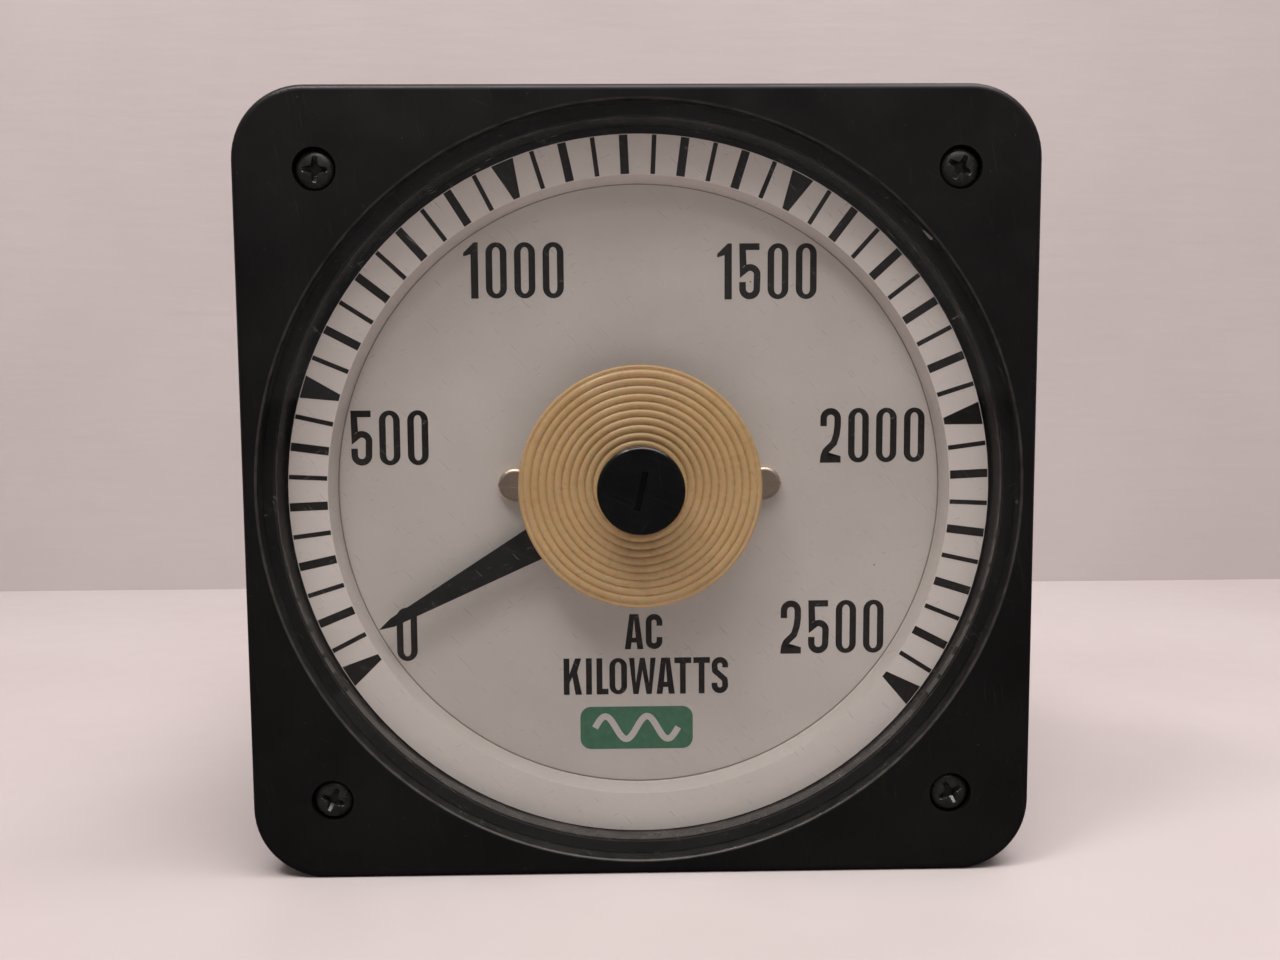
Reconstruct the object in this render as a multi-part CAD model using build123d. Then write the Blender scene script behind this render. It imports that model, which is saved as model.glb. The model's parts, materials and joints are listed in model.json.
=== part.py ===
from build123d import *

import math
import os

# A square-flange switchboard wattmeter with a 250 degree scale, in millimetres.
# X is to the right, +Y goes into the panel and +Z is up. The origin is the centre of the four
# mounting studs on the rear face of the case flange, so the whole front stands at negative Y.
# An angle called a reading angle is measured clockwise from 12 o'clock, as the dial is read.

# Flange and the stack of the front
FLANGE_SIDE = 110.0
FLANGE_CORNER_R = 10.0
COVER_DEPTH = 9.0
GASKET_DEPTH = 1.0
CASE_FLANGE_DEPTH = 5.0
FRONT_Y = -(COVER_DEPTH + GASKET_DEPTH + CASE_FLANGE_DEPTH)
COVER_BACK_Y = FRONT_Y + COVER_DEPTH
CASE_FRONT_Y = COVER_BACK_Y + GASKET_DEPTH

# Round opening and window
OPENING_R = 51.0
WINDOW_SEAT_R = 52.95
WINDOW_R = 52.75
WINDOW_FRONT_Y = FRONT_Y + 0.4
WINDOW_BACK_Y = FRONT_Y + 2.4
WINDOW_SEAT_Y = FRONT_Y + 2.9
WINDOW_HOLE_R = 2.55

# Corner fasteners
COVER_SCREW_PITCH = 87.5
COVER_SCREW_HEAD_R = 2.45
COVER_SCREW_R = 1.5
COUNTERBORE_R = 2.95
COUNTERBORE_DEPTH = 1.9
INSERT_R = 2.4
INSERT_DEPTH = 2.6
STUD_PITCH = 85.725
STUD_R = 2.4
STUD_LENGTH = 19.0
STUD_HEAD_R = 4.0
STUD_HEAD_FRONT_Y = -2.1
STUD_HEAD_BACK_Y = -0.8
STUD_COLLAR_R = 3.2

# Case
BARREL_R = 50.2
COLLAR_R = 52.0
BARREL_BORE_R = 47.7
CASE_LENGTH = 88.0
REAR_WALL_Y = 84.0
RIB_ANGLES = (0.0, 120.0, 240.0)
RIB_HOLE_R = 44.0

# Dial
DIAL_Y = FRONT_Y + 9.0
DIAL_R = 50.0
DIAL_DROP = 0.75
DIAL_HOLE_R = 14.5
DIAL_SCREW_X = 18.0
DIAL_SCREW_R = 1.5
SCALE_FRONT_Y = FRONT_Y + 6.0
SCALE_OUTER_R = 50.1
SCALE_INNER_R = 44.5
SCALE_FOOT_R = 43.65

# Hub cover and zero adjuster
HUB_COVER_R = 17.25
HUB_COVER_HOLE_R = 5.0
HUB_COVER_BACK_Y = FRONT_Y + 4.1
ADJUSTER_R = 6.1
ADJUSTER_FRONT_Y = FRONT_Y - 2.0
SHANK_R = 2.5
SPIGOT_R = 2.0
SLOT_ANGLE = 13.0
DRIVER_FRONT_Y = FRONT_Y + 2.8
DRIVER_BACK_Y = FRONT_Y + 3.6
DRIVE_PIN_OFFSET = 3.3
DRIVE_PIN_R = 0.5

# Front bridge and the pieces that it carries
BRIDGE_FRONT_Y = FRONT_Y + 4.9
BRIDGE_BACK_Y = FRONT_Y + 5.7
BRIDGE_HUB_R = 4.4
BOSS_R = 1.6
LEG_INNER_R = 9.5
LEG_OUTER_R = 13.0
LEG_HALF_WIDTH = 6.5
LEG_SCREW_X = (-4.5, 4.5)
LEG_SCREW_Z = -10.8
LEG_SCREW_R = 1.0
LEG_PIN_R = 0.5
JEWEL_SCREW_R = 0.9
JEWEL_R = 0.8
FRONT_JEWEL_Y = FRONT_Y + 5.4
SPRING_STUD_R = 5.2
RUNNING_CLEARANCE = 0.05

# Pointer assembly, built at 12 o'clock and then turned to where it rests
POINTER_REST = -118.7
POINTER_FRONT_Y = FRONT_Y + 6.6
POINTER_BACK_Y = FRONT_Y + 6.9
POINTER_TIP_R = 43.2
HUB_FRONT_Y = FRONT_Y + 6.4
HUB_BACK_Y = FRONT_Y + 7.6
HUB_R = 1.7
STAFF_R = 0.6
STAFF_FRONT_Y = FRONT_Y + 5.75
STAFF_BACK_Y = 23.55
STOP_PIN_ANGLES = (29.4, -21.8)
STOP_PIN_PITCH_R = 5.5

# Movement: the moving coil rides round the core ring, in the gap to the outer pole ring
FRAME_FRONT_Y = 1.0
FRAME_BACK_Y = 3.5
FRAME_R = 40.0
POLE_INNER_R = 19.0
POLE_OUTER_R = 25.0
CORE_INNER_R = 9.0
CORE_OUTER_R = 16.0
CORE_FRONT_Y = 7.0
CORE_BACK_Y = 19.0
YOKE_BACK_Y = 22.5
POLE_LUG_HALF_WIDTH = 10.0
MAGNET_HALF_WIDTH = 9.0
MAGNET_BOTTOM_Z = -37.0
MAGNET_TOP_Z = -27.0
COIL_HALF_WIDTH = 2.0
FORMER_LOW, FORMER_HIGH = (8.0, 5.9), (17.1, 20.1)
WINDING_LOW, WINDING_HIGH = (7.1, 5.0), (18.0, 21.0)
FORMER_THICKNESS = 0.4
COUNTERWEIGHT_R = 3.29
COUNTERWEIGHT_PITCH_R = 4.9
REAR_BRIDGE_Y = 25.0
REAR_BRIDGE_THICKNESS = 2.0
REAR_BRIDGE_SCREW_X = 22.3
REAR_SPRING_Y = 22.0
HAIRSPRING_INNER_R = 2.2
HAIRSPRING_OUTER_R = SPRING_STUD_R - 0.5
HAIRSPRING_TURNS = 3
REAR_JEWEL_Y = 24.2

# Small movement fasteners
POLE_SCREW_ANGLES = (40.0, 140.0, 220.0, 320.0)
POLE_SCREW_R = 22.0
POLE_SCREW_SHANK_R = 1.2
POLE_SCREW_TIP_Y = 12.0
YOKE_SCREW_X = (-3.6, 3.6)
YOKE_SCREW_Z = -12.5
YOKE_SCREW_R = 0.9
BRIDGE_SCREW_R = 1.0
REAR_JEWEL_SCREW_R = 1.2

# Electronics and terminals
BOARD_R = 43.0
BOARD_THICKNESS = 1.6
TRANSDUCER_BOARD_Y = 42.0
INPUT_BOARD_Y = 68.0
SPACER_PITCH_R = 36.0
SPACER_R = 3.0
SPACER_SCREW_R = 1.4
TRANSFORMER_PLACES = ((-18.0, 14.0), (18.0, 14.0), (0.0, -18.0))
TERMINAL_X = (-24.0, -8.0, 8.0, 24.0)
TERMINAL_Z = (-12.0, 12.0)
TERMINAL_R = 2.4
TERMINAL_TIP_Y = 103.0
TERMINAL_SPIGOT_R = 1.5
WASHER_R = 5.5
WASHER_THICKNESS = 0.9
NUT_R = 4.6
NUT_HEIGHT = 3.2
LUG_GAP = 1.5


def plate(outline, y_front, y_back):
    """A flat outline in X and Z, extruded from y_front to y_back."""
    return extrude(Plane.XZ.offset(-y_back) * outline, y_back - y_front)


def disc(radius, y_front, y_back, x=0.0, z=0.0):
    return plate(Pos(x, z) * Circle(radius), y_front, y_back)


def ring(outer, inner, y_front, y_back, x=0.0, z=0.0):
    return plate(Pos(x, z) * (Circle(outer) - Circle(inner)), y_front, y_back)


def hexagon(radius, y_front, y_back, x=0.0, z=0.0):
    return plate(Pos(x, z) * RegularPolygon(radius, 6), y_front, y_back)


def block(x_low, x_high, y_low, y_high, z_low, z_high):
    middle = ((x_low + x_high) / 2, (y_low + y_high) / 2, (z_low + z_high) / 2)
    return Pos(*middle) * Box(x_high - x_low, y_high - y_low, z_high - z_low)


def turned(piece, reading_angle):
    """A piece built at 12 o'clock, turned clockwise to a reading angle."""
    return Rot(0, reading_angle, 0) * piece


def on_circle(radius, reading_angle):
    angle = math.radians(reading_angle)
    return radius * math.sin(angle), radius * math.cos(angle)


def corners(pitch):
    half = pitch / 2
    return [(x, z) for x in (-half, half) for z in (-half, half)]


def revolved(profile):
    """A closed list of (radius, y) points turned about the meter's axis."""
    return revolve(make_face(Polyline(*profile, close=True)), Axis.Y)


def screw(head_r, head_y, seat_y, shank_r, tip_y, x=0.0, z=0.0, slot=0.5):
    """A slotted round-head screw whose head runs from head_y to the seat, either way round."""
    low, high = sorted((head_y, seat_y))
    head = disc(head_r, low, high, x, z)
    outer_edge = head.edges().sort_by(Axis.Y)[0 if head_y < seat_y else -1]
    head = fillet(outer_edge, 0.45 * (high - low))
    slot_floor = head_y + 0.4 * (seat_y - head_y)
    slot_low, slot_high = sorted((head_y, slot_floor))
    head -= block(x - head_r, x + head_r, slot_low, slot_high, z - slot / 2, z + slot / 2)
    shank_low, shank_high = sorted((seat_y, tip_y))
    return head + disc(shank_r, shank_low, shank_high, x, z)


def front_cover():
    edge_r, lip_r, wall, pocket_y = 0.9, 0.35, 3.0, FRONT_Y + 5.0
    boss_r, pocket_ring_r = 5.0, 54.5
    cover = plate(RectangleRounded(FLANGE_SIDE, FLANGE_SIDE, FLANGE_CORNER_R), FRONT_Y, COVER_BACK_Y)
    cover = fillet(cover.faces().sort_by(Axis.Y)[0].edges(), edge_r)
    seat = disc(WINDOW_SEAT_R, FRONT_Y, WINDOW_SEAT_Y)
    cover -= disc(OPENING_R, FRONT_Y, COVER_BACK_Y) + seat
    lip = cover.edges().filter_by(GeomType.CIRCLE).filter_by(
        lambda edge: abs(edge.radius - WINDOW_SEAT_R) < 0.01 and edge.center().Y < FRONT_Y + 0.01)
    cover = fillet(lip, lip_r)
    inside = FLANGE_SIDE - 2 * wall
    pocket = RectangleRounded(inside, inside, FLANGE_CORNER_R - wall) - Circle(pocket_ring_r)
    for x, z in corners(COVER_SCREW_PITCH):
        pocket -= Pos(x, z) * Circle(boss_r)
    cover -= plate(pocket, pocket_y, COVER_BACK_Y)
    for x, z in corners(COVER_SCREW_PITCH):
        cover -= disc(COVER_SCREW_R + 0.2, FRONT_Y, COVER_BACK_Y, x, z)
        cover -= disc(COUNTERBORE_R, FRONT_Y, FRONT_Y + COUNTERBORE_DEPTH, x, z)
    return cover


def cover_gasket():
    side, corner_r, hole_r = FLANGE_SIDE - 1.0, FLANGE_CORNER_R - 0.5, 2.6
    outline = RectangleRounded(side, side, corner_r) - Circle(OPENING_R)
    for x, z in corners(COVER_SCREW_PITCH):
        outline -= Pos(x, z) * Circle(hole_r)
    return plate(outline, COVER_BACK_Y, CASE_FRONT_Y)


def cover_screws():
    head_y, edge_r, shank_tip = FRONT_Y + 0.25, 0.8, CASE_FRONT_Y + 2.4
    arm, arm_width, recess_depth, recess_turn = 1.35, 0.55, 1.1, 25
    screws = []
    for x, z in corners(COVER_SCREW_PITCH):
        head = disc(COVER_SCREW_HEAD_R, head_y, FRONT_Y + COUNTERBORE_DEPTH, x, z)
        head = fillet(head.edges().sort_by(Axis.Y)[0], edge_r)
        cross = Rectangle(2 * arm, arm_width) + Rectangle(arm_width, 2 * arm)
        head -= plate(Pos(x, z) * Rot(0, 0, recess_turn) * cross, head_y, head_y + recess_depth)
        screws.append(head + disc(COVER_SCREW_R, FRONT_Y + COUNTERBORE_DEPTH, shank_tip, x, z))
    return Compound(screws)


def cover_inserts():
    back_y = CASE_FRONT_Y + INSERT_DEPTH
    return Compound([ring(INSERT_R, COVER_SCREW_R, CASE_FRONT_Y, back_y, x, z)
                     for x, z in corners(COVER_SCREW_PITCH)])


def window():
    return ring(WINDOW_R, WINDOW_HOLE_R, WINDOW_FRONT_Y, WINDOW_BACK_Y)


def window_gasket():
    return ring(WINDOW_R, OPENING_R + 0.2, WINDOW_BACK_Y, WINDOW_SEAT_Y)


def case():
    """The barrel: a tube with three inner ribs that the movement frame is screwed to.

    Its front collar fills the flange's round hole, and both backs lie in one plane.
    """
    rib_half, rib_front_r, rib_back_y, screw_depth, rear_edge_r = 5.0, 40.5, 20.0, 9.0, 1.5
    barrel = disc(BARREL_R, 0.0, CASE_LENGTH)
    barrel = fillet(barrel.edges().sort_by(Axis.Y)[-1], rear_edge_r)
    barrel += disc(COLLAR_R, CASE_FRONT_Y, 0.0)
    barrel -= disc(BARREL_BORE_R, CASE_FRONT_Y, CASE_LENGTH)
    for angle in RIB_ANGLES:
        rib = block(-rib_half, rib_half, FRAME_BACK_Y, rib_back_y, rib_front_r, BARREL_BORE_R + 0.5)
        hole = disc(DIAL_SCREW_R, FRAME_BACK_Y, FRAME_BACK_Y + screw_depth, 0.0, RIB_HOLE_R)
        barrel += turned(rib - hole, angle)
    return barrel


def mounting_flange():
    """The square rear half of the front: its back seats on the panel."""
    edge_r = 0.6
    flange = plate(RectangleRounded(FLANGE_SIDE, FLANGE_SIDE, FLANGE_CORNER_R), CASE_FRONT_Y, 0.0)
    flange = fillet(flange.faces().sort_by(Axis.Y)[-1].edges(), edge_r)
    flange -= disc(COLLAR_R, CASE_FRONT_Y, 0.0)
    for x, z in corners(COVER_SCREW_PITCH):
        flange -= disc(INSERT_R, CASE_FRONT_Y, CASE_FRONT_Y + INSERT_DEPTH, x, z)
    for x, z in corners(STUD_PITCH):
        flange -= hexagon(STUD_HEAD_R, STUD_HEAD_FRONT_Y, STUD_HEAD_BACK_Y, x, z)
        flange -= disc(STUD_COLLAR_R, STUD_HEAD_BACK_Y, 0.0, x, z)
    return flange


def back_plate():
    """Closes the barrel and carries the terminals, with barriers between them."""
    barrier_height, barrier_half, barrier_reach, side_margin = 9.0, 1.0, 24.0, 8.0
    barrier_y = CASE_LENGTH + barrier_height
    closing = disc(BARREL_BORE_R, REAR_WALL_Y, CASE_LENGTH)
    for x_left, x_right in zip(TERMINAL_X, TERMINAL_X[1:]):
        x = (x_left + x_right) / 2
        closing += block(x - barrier_half, x + barrier_half, CASE_LENGTH, barrier_y,
                         -barrier_reach, barrier_reach)
    reach = TERMINAL_X[-1] + side_margin
    closing += block(-reach, reach, CASE_LENGTH, barrier_y, -barrier_half, barrier_half)
    for x, z in terminal_places():
        closing -= disc(TERMINAL_R, REAR_WALL_Y, CASE_LENGTH, x, z)
    return closing


def mounting_studs():
    tip_chamfer = 0.6
    studs = []
    for x, z in corners(STUD_PITCH):
        shank = disc(STUD_R, 0.0, STUD_LENGTH, x, z)
        shank = chamfer(shank.edges().sort_by(Axis.Y)[-1], tip_chamfer)
        collar = disc(STUD_COLLAR_R, STUD_HEAD_BACK_Y, 0.0, x, z)
        studs.append(hexagon(STUD_HEAD_R, STUD_HEAD_FRONT_Y, STUD_HEAD_BACK_Y, x, z) + collar + shank)
    return Compound(studs)


def zero_adjuster():
    edge_r, back_y, slot_length, slot_width, slot_depth = 0.45, FRONT_Y + 0.3, 5.5, 0.8, 1.0
    head = disc(ADJUSTER_R, ADJUSTER_FRONT_Y, back_y)
    head = fillet(head.edges().sort_by(Axis.Y)[0], edge_r)
    slot = plate(Rectangle(slot_width, slot_length), ADJUSTER_FRONT_Y, ADJUSTER_FRONT_Y + slot_depth)
    shank = disc(SHANK_R, back_y, DRIVER_FRONT_Y) + disc(SPIGOT_R, DRIVER_FRONT_Y, DRIVER_BACK_Y)
    return head - turned(slot, SLOT_ANGLE) + shank


def zero_adjuster_seal():
    outer_r, clearance, thickness = 4.2, 0.1, 0.3
    return ring(outer_r, SHANK_R + clearance, WINDOW_BACK_Y, WINDOW_BACK_Y + thickness)


def zero_adjuster_driver():
    rim_r, pin_tip_y = 4.4, FRONT_Y + 4.7
    driver = ring(rim_r, SPIGOT_R, DRIVER_FRONT_Y, DRIVER_BACK_Y)
    return driver + disc(DRIVE_PIN_R, DRIVER_BACK_Y, pin_tip_y, 0.0, -DRIVE_PIN_OFFSET)


def hub_cover():
    """A thin moulded disc with rounded concentric ridges, dished slightly at its middle."""
    ridges, first_r, pitch = 10, 5.6, 1.1
    valley_y, crest, dish, rim_width, rim_fall = FRONT_Y + 3.35, 0.33, 0.25, 0.25, 0.2
    edges = []
    last = (HUB_COVER_HOLE_R, HUB_COVER_BACK_Y)
    start = (HUB_COVER_HOLE_R, valley_y + dish)
    edges.append(Line(last, start))
    end = (first_r, valley_y + dish)
    edges.append(Line(start, end))
    for ridge in range(ridges):
        start = end
        fall = dish * (1 - (ridge + 1) / ridges)
        end = (first_r + (ridge + 1) * pitch, valley_y + fall)
        crown = ((start[0] + end[0]) / 2, (start[1] + end[1]) / 2 - crest)
        edges.append(ThreePointArc(start, crown, end))
    rim = [end, (HUB_COVER_R - rim_width, valley_y - rim_fall / 2), (HUB_COVER_R, valley_y + rim_fall),
           (HUB_COVER_R, HUB_COVER_BACK_Y), last]
    edges += [Line(a, b) for a, b in zip(rim, rim[1:])]
    return revolve(make_face(edges), Axis.Y)


def hub_cover_pins():
    shoulder_r = 0.9
    pins = []
    for x in LEG_SCREW_X:
        shoulder = disc(shoulder_r, HUB_COVER_BACK_Y, BRIDGE_FRONT_Y, x, LEG_SCREW_Z)
        pins.append(shoulder + disc(LEG_PIN_R, BRIDGE_FRONT_Y, BRIDGE_BACK_Y, x, LEG_SCREW_Z))
    return Compound(pins)


def scale_ring():
    """A raised ring whose inner edge rolls down to the dial over a fine undercut.

    The ring and the dial rest a little low in the opening, below the pointer's axis.
    """
    undercut_height, undercut_depth, crown_in, crown_down = 0.15, 0.3, 0.65, 0.33
    undercut_y, undercut_r = DIAL_Y - undercut_height, SCALE_FOOT_R + undercut_depth
    crown = (SCALE_INNER_R - crown_in * (SCALE_INNER_R - SCALE_FOOT_R),
             SCALE_FRONT_Y + crown_down * (undercut_y - SCALE_FRONT_Y))
    outline = [(SCALE_FOOT_R, undercut_y), (undercut_r, undercut_y), (undercut_r, DIAL_Y),
               (SCALE_OUTER_R, DIAL_Y), (SCALE_OUTER_R, SCALE_FRONT_Y), (SCALE_INNER_R, SCALE_FRONT_Y)]
    edges = [Line(a, b) for a, b in zip(outline, outline[1:])]
    edges.append(ThreePointArc(outline[-1], crown, outline[0]))
    return Pos(0, 0, -DIAL_DROP) * revolve(make_face(edges), Axis.Y)


def dial_plate():
    outline = Pos(0, -DIAL_DROP) * Circle(DIAL_R) - Circle(DIAL_HOLE_R)
    for x in (-DIAL_SCREW_X, DIAL_SCREW_X):
        outline -= Pos(x, 0) * Circle(DIAL_SCREW_R + 0.1)
    return plate(outline, DIAL_Y, CASE_FRONT_Y)


def dial_screws():
    head_r, head_y, tip_y = 2.5, DIAL_Y - 1.35, CASE_FRONT_Y + 3.0
    return Compound([screw(head_r, head_y, DIAL_Y, DIAL_SCREW_R, tip_y, x)
                     for x in (-DIAL_SCREW_X, DIAL_SCREW_X)])


def dial_posts():
    post_r, screw_depth = 3.0, 3.5
    posts = []
    for x in (-DIAL_SCREW_X, DIAL_SCREW_X):
        post = hexagon(post_r, CASE_FRONT_Y, FRAME_FRONT_Y, x)
        post += disc(DIAL_SCREW_R, FRAME_FRONT_Y, FRAME_BACK_Y, x)
        posts.append(post - disc(DIAL_SCREW_R, CASE_FRONT_Y, CASE_FRONT_Y + screw_depth, x))
    return Compound(posts)


def front_bridge():
    """A cock over the pointer: it stands on one leg where the pointer never sweeps."""
    boss_y, screw_depth = BRIDGE_FRONT_Y - 0.7, 5.0
    arm = Pos(0, -LEG_OUTER_R / 2) * Rectangle(2 * BRIDGE_HUB_R, LEG_OUTER_R)
    foot = (Circle(LEG_OUTER_R) - Circle(LEG_INNER_R)) & (
        Pos(0, -LEG_OUTER_R / 2) * Rectangle(2 * LEG_HALF_WIDTH, LEG_OUTER_R))
    top = plate(Circle(BRIDGE_HUB_R) + (arm & Circle(LEG_OUTER_R)) + foot, BRIDGE_FRONT_Y, BRIDGE_BACK_Y)
    boss = disc(BOSS_R, boss_y, BRIDGE_FRONT_Y)
    bridge = top + boss + plate(foot, BRIDGE_BACK_Y, FRAME_FRONT_Y)
    bridge -= disc(JEWEL_SCREW_R, boss_y, BRIDGE_BACK_Y)
    for x in LEG_SCREW_X:
        bridge -= disc(LEG_PIN_R, BRIDGE_FRONT_Y, BRIDGE_BACK_Y, x, LEG_SCREW_Z)
        bridge -= disc(LEG_SCREW_R, FRAME_FRONT_Y - screw_depth, FRAME_FRONT_Y, x, LEG_SCREW_Z)
    return bridge


def front_bridge_screws():
    head_r, head_height, grip = 1.7, 1.1, 4.5
    return Compound([screw(head_r, FRAME_BACK_Y + head_height, FRAME_BACK_Y, LEG_SCREW_R,
                           FRAME_FRONT_Y - grip, x, LEG_SCREW_Z) for x in LEG_SCREW_X])


def front_jewel_screw():
    front_y, slot_depth, slot_half = FRONT_Y + 4.0, 0.3, 0.15
    body = disc(JEWEL_SCREW_R, front_y, FRONT_JEWEL_Y)
    return body - block(-JEWEL_SCREW_R, JEWEL_SCREW_R, front_y, front_y + slot_depth, -slot_half, slot_half)


def pivot_jewels():
    """One at each end of the staff, each let into its screw's tip."""
    front = disc(JEWEL_R, FRONT_JEWEL_Y, BRIDGE_BACK_Y)
    rear = disc(JEWEL_R, STAFF_BACK_Y + RUNNING_CLEARANCE, REAR_JEWEL_Y)
    return Compound([front, rear])


def zero_lever():
    """Turns on the bridge's boss: the adjuster's pin drives it, and it holds the hairspring's end."""
    front_y, back_y, stud_r, spring_y = FRONT_Y + 4.35, FRONT_Y + 4.75, 0.4, FRONT_Y + 6.3
    lever_r, arm_end_r, pin_clearance = 4.2, 1.2, 0.08
    arm = Pos(0, SPRING_STUD_R / 2) * Rectangle(2 * arm_end_r, SPRING_STUD_R)
    outline = Circle(lever_r) + arm + Pos(0, SPRING_STUD_R) * Circle(arm_end_r)
    outline -= Circle(BOSS_R + RUNNING_CLEARANCE)
    outline -= Pos(0, -DRIVE_PIN_OFFSET) * Circle(DRIVE_PIN_R + pin_clearance)
    return plate(outline, front_y, back_y) + disc(stud_r, back_y, spring_y, 0.0, SPRING_STUD_R)


def hairspring(y_front, y_back):
    """A flat spiral strip whose outer end lies at 12 o'clock."""
    thickness, points_per_turn = 0.16, 12
    count = HAIRSPRING_TURNS * points_per_turn
    sides = []
    for offset in (-thickness / 2, thickness / 2):
        points = []
        for step in range(count + 1):
            share = step / count
            angle = math.pi / 2 - 2 * math.pi * HAIRSPRING_TURNS * (1 - share)
            radius = HAIRSPRING_INNER_R + (HAIRSPRING_OUTER_R - HAIRSPRING_INNER_R) * share + offset
            points.append((radius * math.cos(angle), radius * math.sin(angle)))
        sides.append(points)
    inner, outer = sides
    strip = make_face([Spline(*inner), Line(inner[-1], outer[-1]), Spline(*outer), Line(outer[0], inner[0])])
    return plate(strip, y_front, y_back)


def front_hairspring():
    return hairspring(FRONT_Y + 5.95, FRONT_Y + 6.25)


def rear_hairspring():
    strip_width, stud_angle = 0.35, 90
    return turned(hairspring(REAR_SPRING_Y, REAR_SPRING_Y + strip_width), stud_angle)


def pointer():
    """A lance: broadest just outside the hub cover and drawn out to a fine point."""
    half = [(0.9, HUB_R - 0.3), (0.9, 12.5), (2.55, 15.5), (2.45, 17.3), (1.0, 36.5), (0.65, 41.0)]
    outline = half + [(0.0, POINTER_TIP_R)] + [(-x, z) for x, z in reversed(half)]
    lance = Polygon(*outline, align=None) - Circle(HUB_R)
    return turned(plate(lance, POINTER_FRONT_Y, POINTER_BACK_Y), POINTER_REST)


def pointer_hub():
    tail_r, tail_length = 0.45, 7.6
    hub = ring(HUB_R, STAFF_R, HUB_FRONT_Y, HUB_BACK_Y)
    tail = Pos(0, (HUB_FRONT_Y + HUB_BACK_Y) / 2, -(HUB_R + tail_length) / 2) * Cylinder(
        tail_r, tail_length - HUB_R + 0.4)
    return turned(hub + (tail - disc(HUB_R - 0.2, HUB_FRONT_Y, HUB_BACK_Y)), POINTER_REST)


def balance_weights():
    """Two nuts on the tail balance the pointer, and a brass bar inside the core ring the coil."""
    radius, inner, places = 1.9, 0.45, (3.9, 6.1)
    y_middle = (HUB_FRONT_Y + HUB_BACK_Y) / 2
    bar = disc(COUNTERWEIGHT_R, FORMER_LOW[1], FORMER_HIGH[1], 0.0, -COUNTERWEIGHT_PITCH_R)
    weights = [turned(bar, POINTER_REST)]
    for z in places:
        nut = Pos(0, y_middle + 1.4, -z) * (Cylinder(radius, 2.0) - Pos(0, -1.4, 0) * Cylinder(inner, 2.0))
        weights.append(turned(nut, POINTER_REST))
    return Compound(weights)


def staff():
    tip_r, taper = 0.12, 0.4
    return revolved([(0.0, STAFF_FRONT_Y), (tip_r, STAFF_FRONT_Y), (STAFF_R, STAFF_FRONT_Y + taper),
                     (STAFF_R, STAFF_BACK_Y - taper), (tip_r, STAFF_BACK_Y), (0.0, STAFF_BACK_Y)])


def loop(low, high, half_width, thickness_low, thickness_high):
    """A rectangular coil side-on to the axis; low and high are (radius, y) of its outer corners."""
    outer = block(-half_width, half_width, low[1], high[1], low[0], high[0])
    inner = block(-half_width, half_width, thickness_low[1], thickness_high[1],
                  thickness_low[0], thickness_high[0])
    return turned(outer - inner, POINTER_REST)


def coil_former():
    low = tuple(value + FORMER_THICKNESS for value in FORMER_LOW)
    high = tuple(value - FORMER_THICKNESS for value in FORMER_HIGH)
    return loop(FORMER_LOW, FORMER_HIGH, COIL_HALF_WIDTH, low, high)


def coil_winding():
    return loop(WINDING_LOW, WINDING_HIGH, COIL_HALF_WIDTH - 0.2, FORMER_LOW, FORMER_HIGH)


def coil_arms():
    """Front and rear arms that carry the coil and its counterweight on the staff."""
    reach = WINDING_LOW[0] + COUNTERWEIGHT_PITCH_R
    middle = (WINDING_LOW[0] - COUNTERWEIGHT_PITCH_R) / 2
    arms = []
    for y_low, y_high in ((WINDING_LOW[1], FORMER_LOW[1]), (FORMER_HIGH[1], WINDING_HIGH[1])):
        outline = Circle(2.0) + Pos(0, middle) * Rectangle(3.0, reach)
        arms.append(turned(plate(outline - Circle(STAFF_R), y_low, y_high), POINTER_REST))
    return Compound(arms)


def stop_pins():
    """The tail's balance nuts meet these just past each end of the scale."""
    pin_r, front_y = 0.5, POINTER_BACK_Y + 0.25
    return Compound([disc(pin_r, front_y, FRAME_FRONT_Y, *on_circle(STOP_PIN_PITCH_R, angle))
                     for angle in STOP_PIN_ANGLES])


def movement_frame():
    ear_half, ear_foot_r, ear_tip_r, staff_hole_r = 6.0, FRAME_R - 5.0, 46.5, 3.0
    relief_pitch_r, relief_r, relief_turn = 32.0, 5.0, 60.0
    outline = Circle(FRAME_R) - Circle(staff_hole_r)
    for angle in RIB_ANGLES:
        outline += Rot(0, 0, -angle) * Pos(0, (ear_foot_r + ear_tip_r) / 2) * Rectangle(
            2 * ear_half, ear_tip_r - ear_foot_r)
    for angle in RIB_ANGLES:
        outline -= Pos(*on_circle(RIB_HOLE_R, angle)) * Circle(DIAL_SCREW_R)
        outline -= Pos(*on_circle(relief_pitch_r, angle + relief_turn)) * Circle(relief_r)
    for angle in POLE_SCREW_ANGLES:
        outline -= Pos(*on_circle(POLE_SCREW_R, angle)) * Circle(POLE_SCREW_SHANK_R)
    for x in (-DIAL_SCREW_X, DIAL_SCREW_X):
        outline -= Pos(x, 0) * Circle(DIAL_SCREW_R)
    for x in LEG_SCREW_X:
        outline -= Pos(x, LEG_SCREW_Z) * Circle(LEG_SCREW_R)
    return plate(outline, FRAME_FRONT_Y, FRAME_BACK_Y)


def movement_screws():
    head_r, head_height, tip_y = 2.6, 1.7, 12.0
    return Compound([screw(head_r, FRAME_FRONT_Y - head_height, FRAME_FRONT_Y, DIAL_SCREW_R, tip_y,
                           *on_circle(RIB_HOLE_R, angle)) for angle in RIB_ANGLES])


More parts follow.
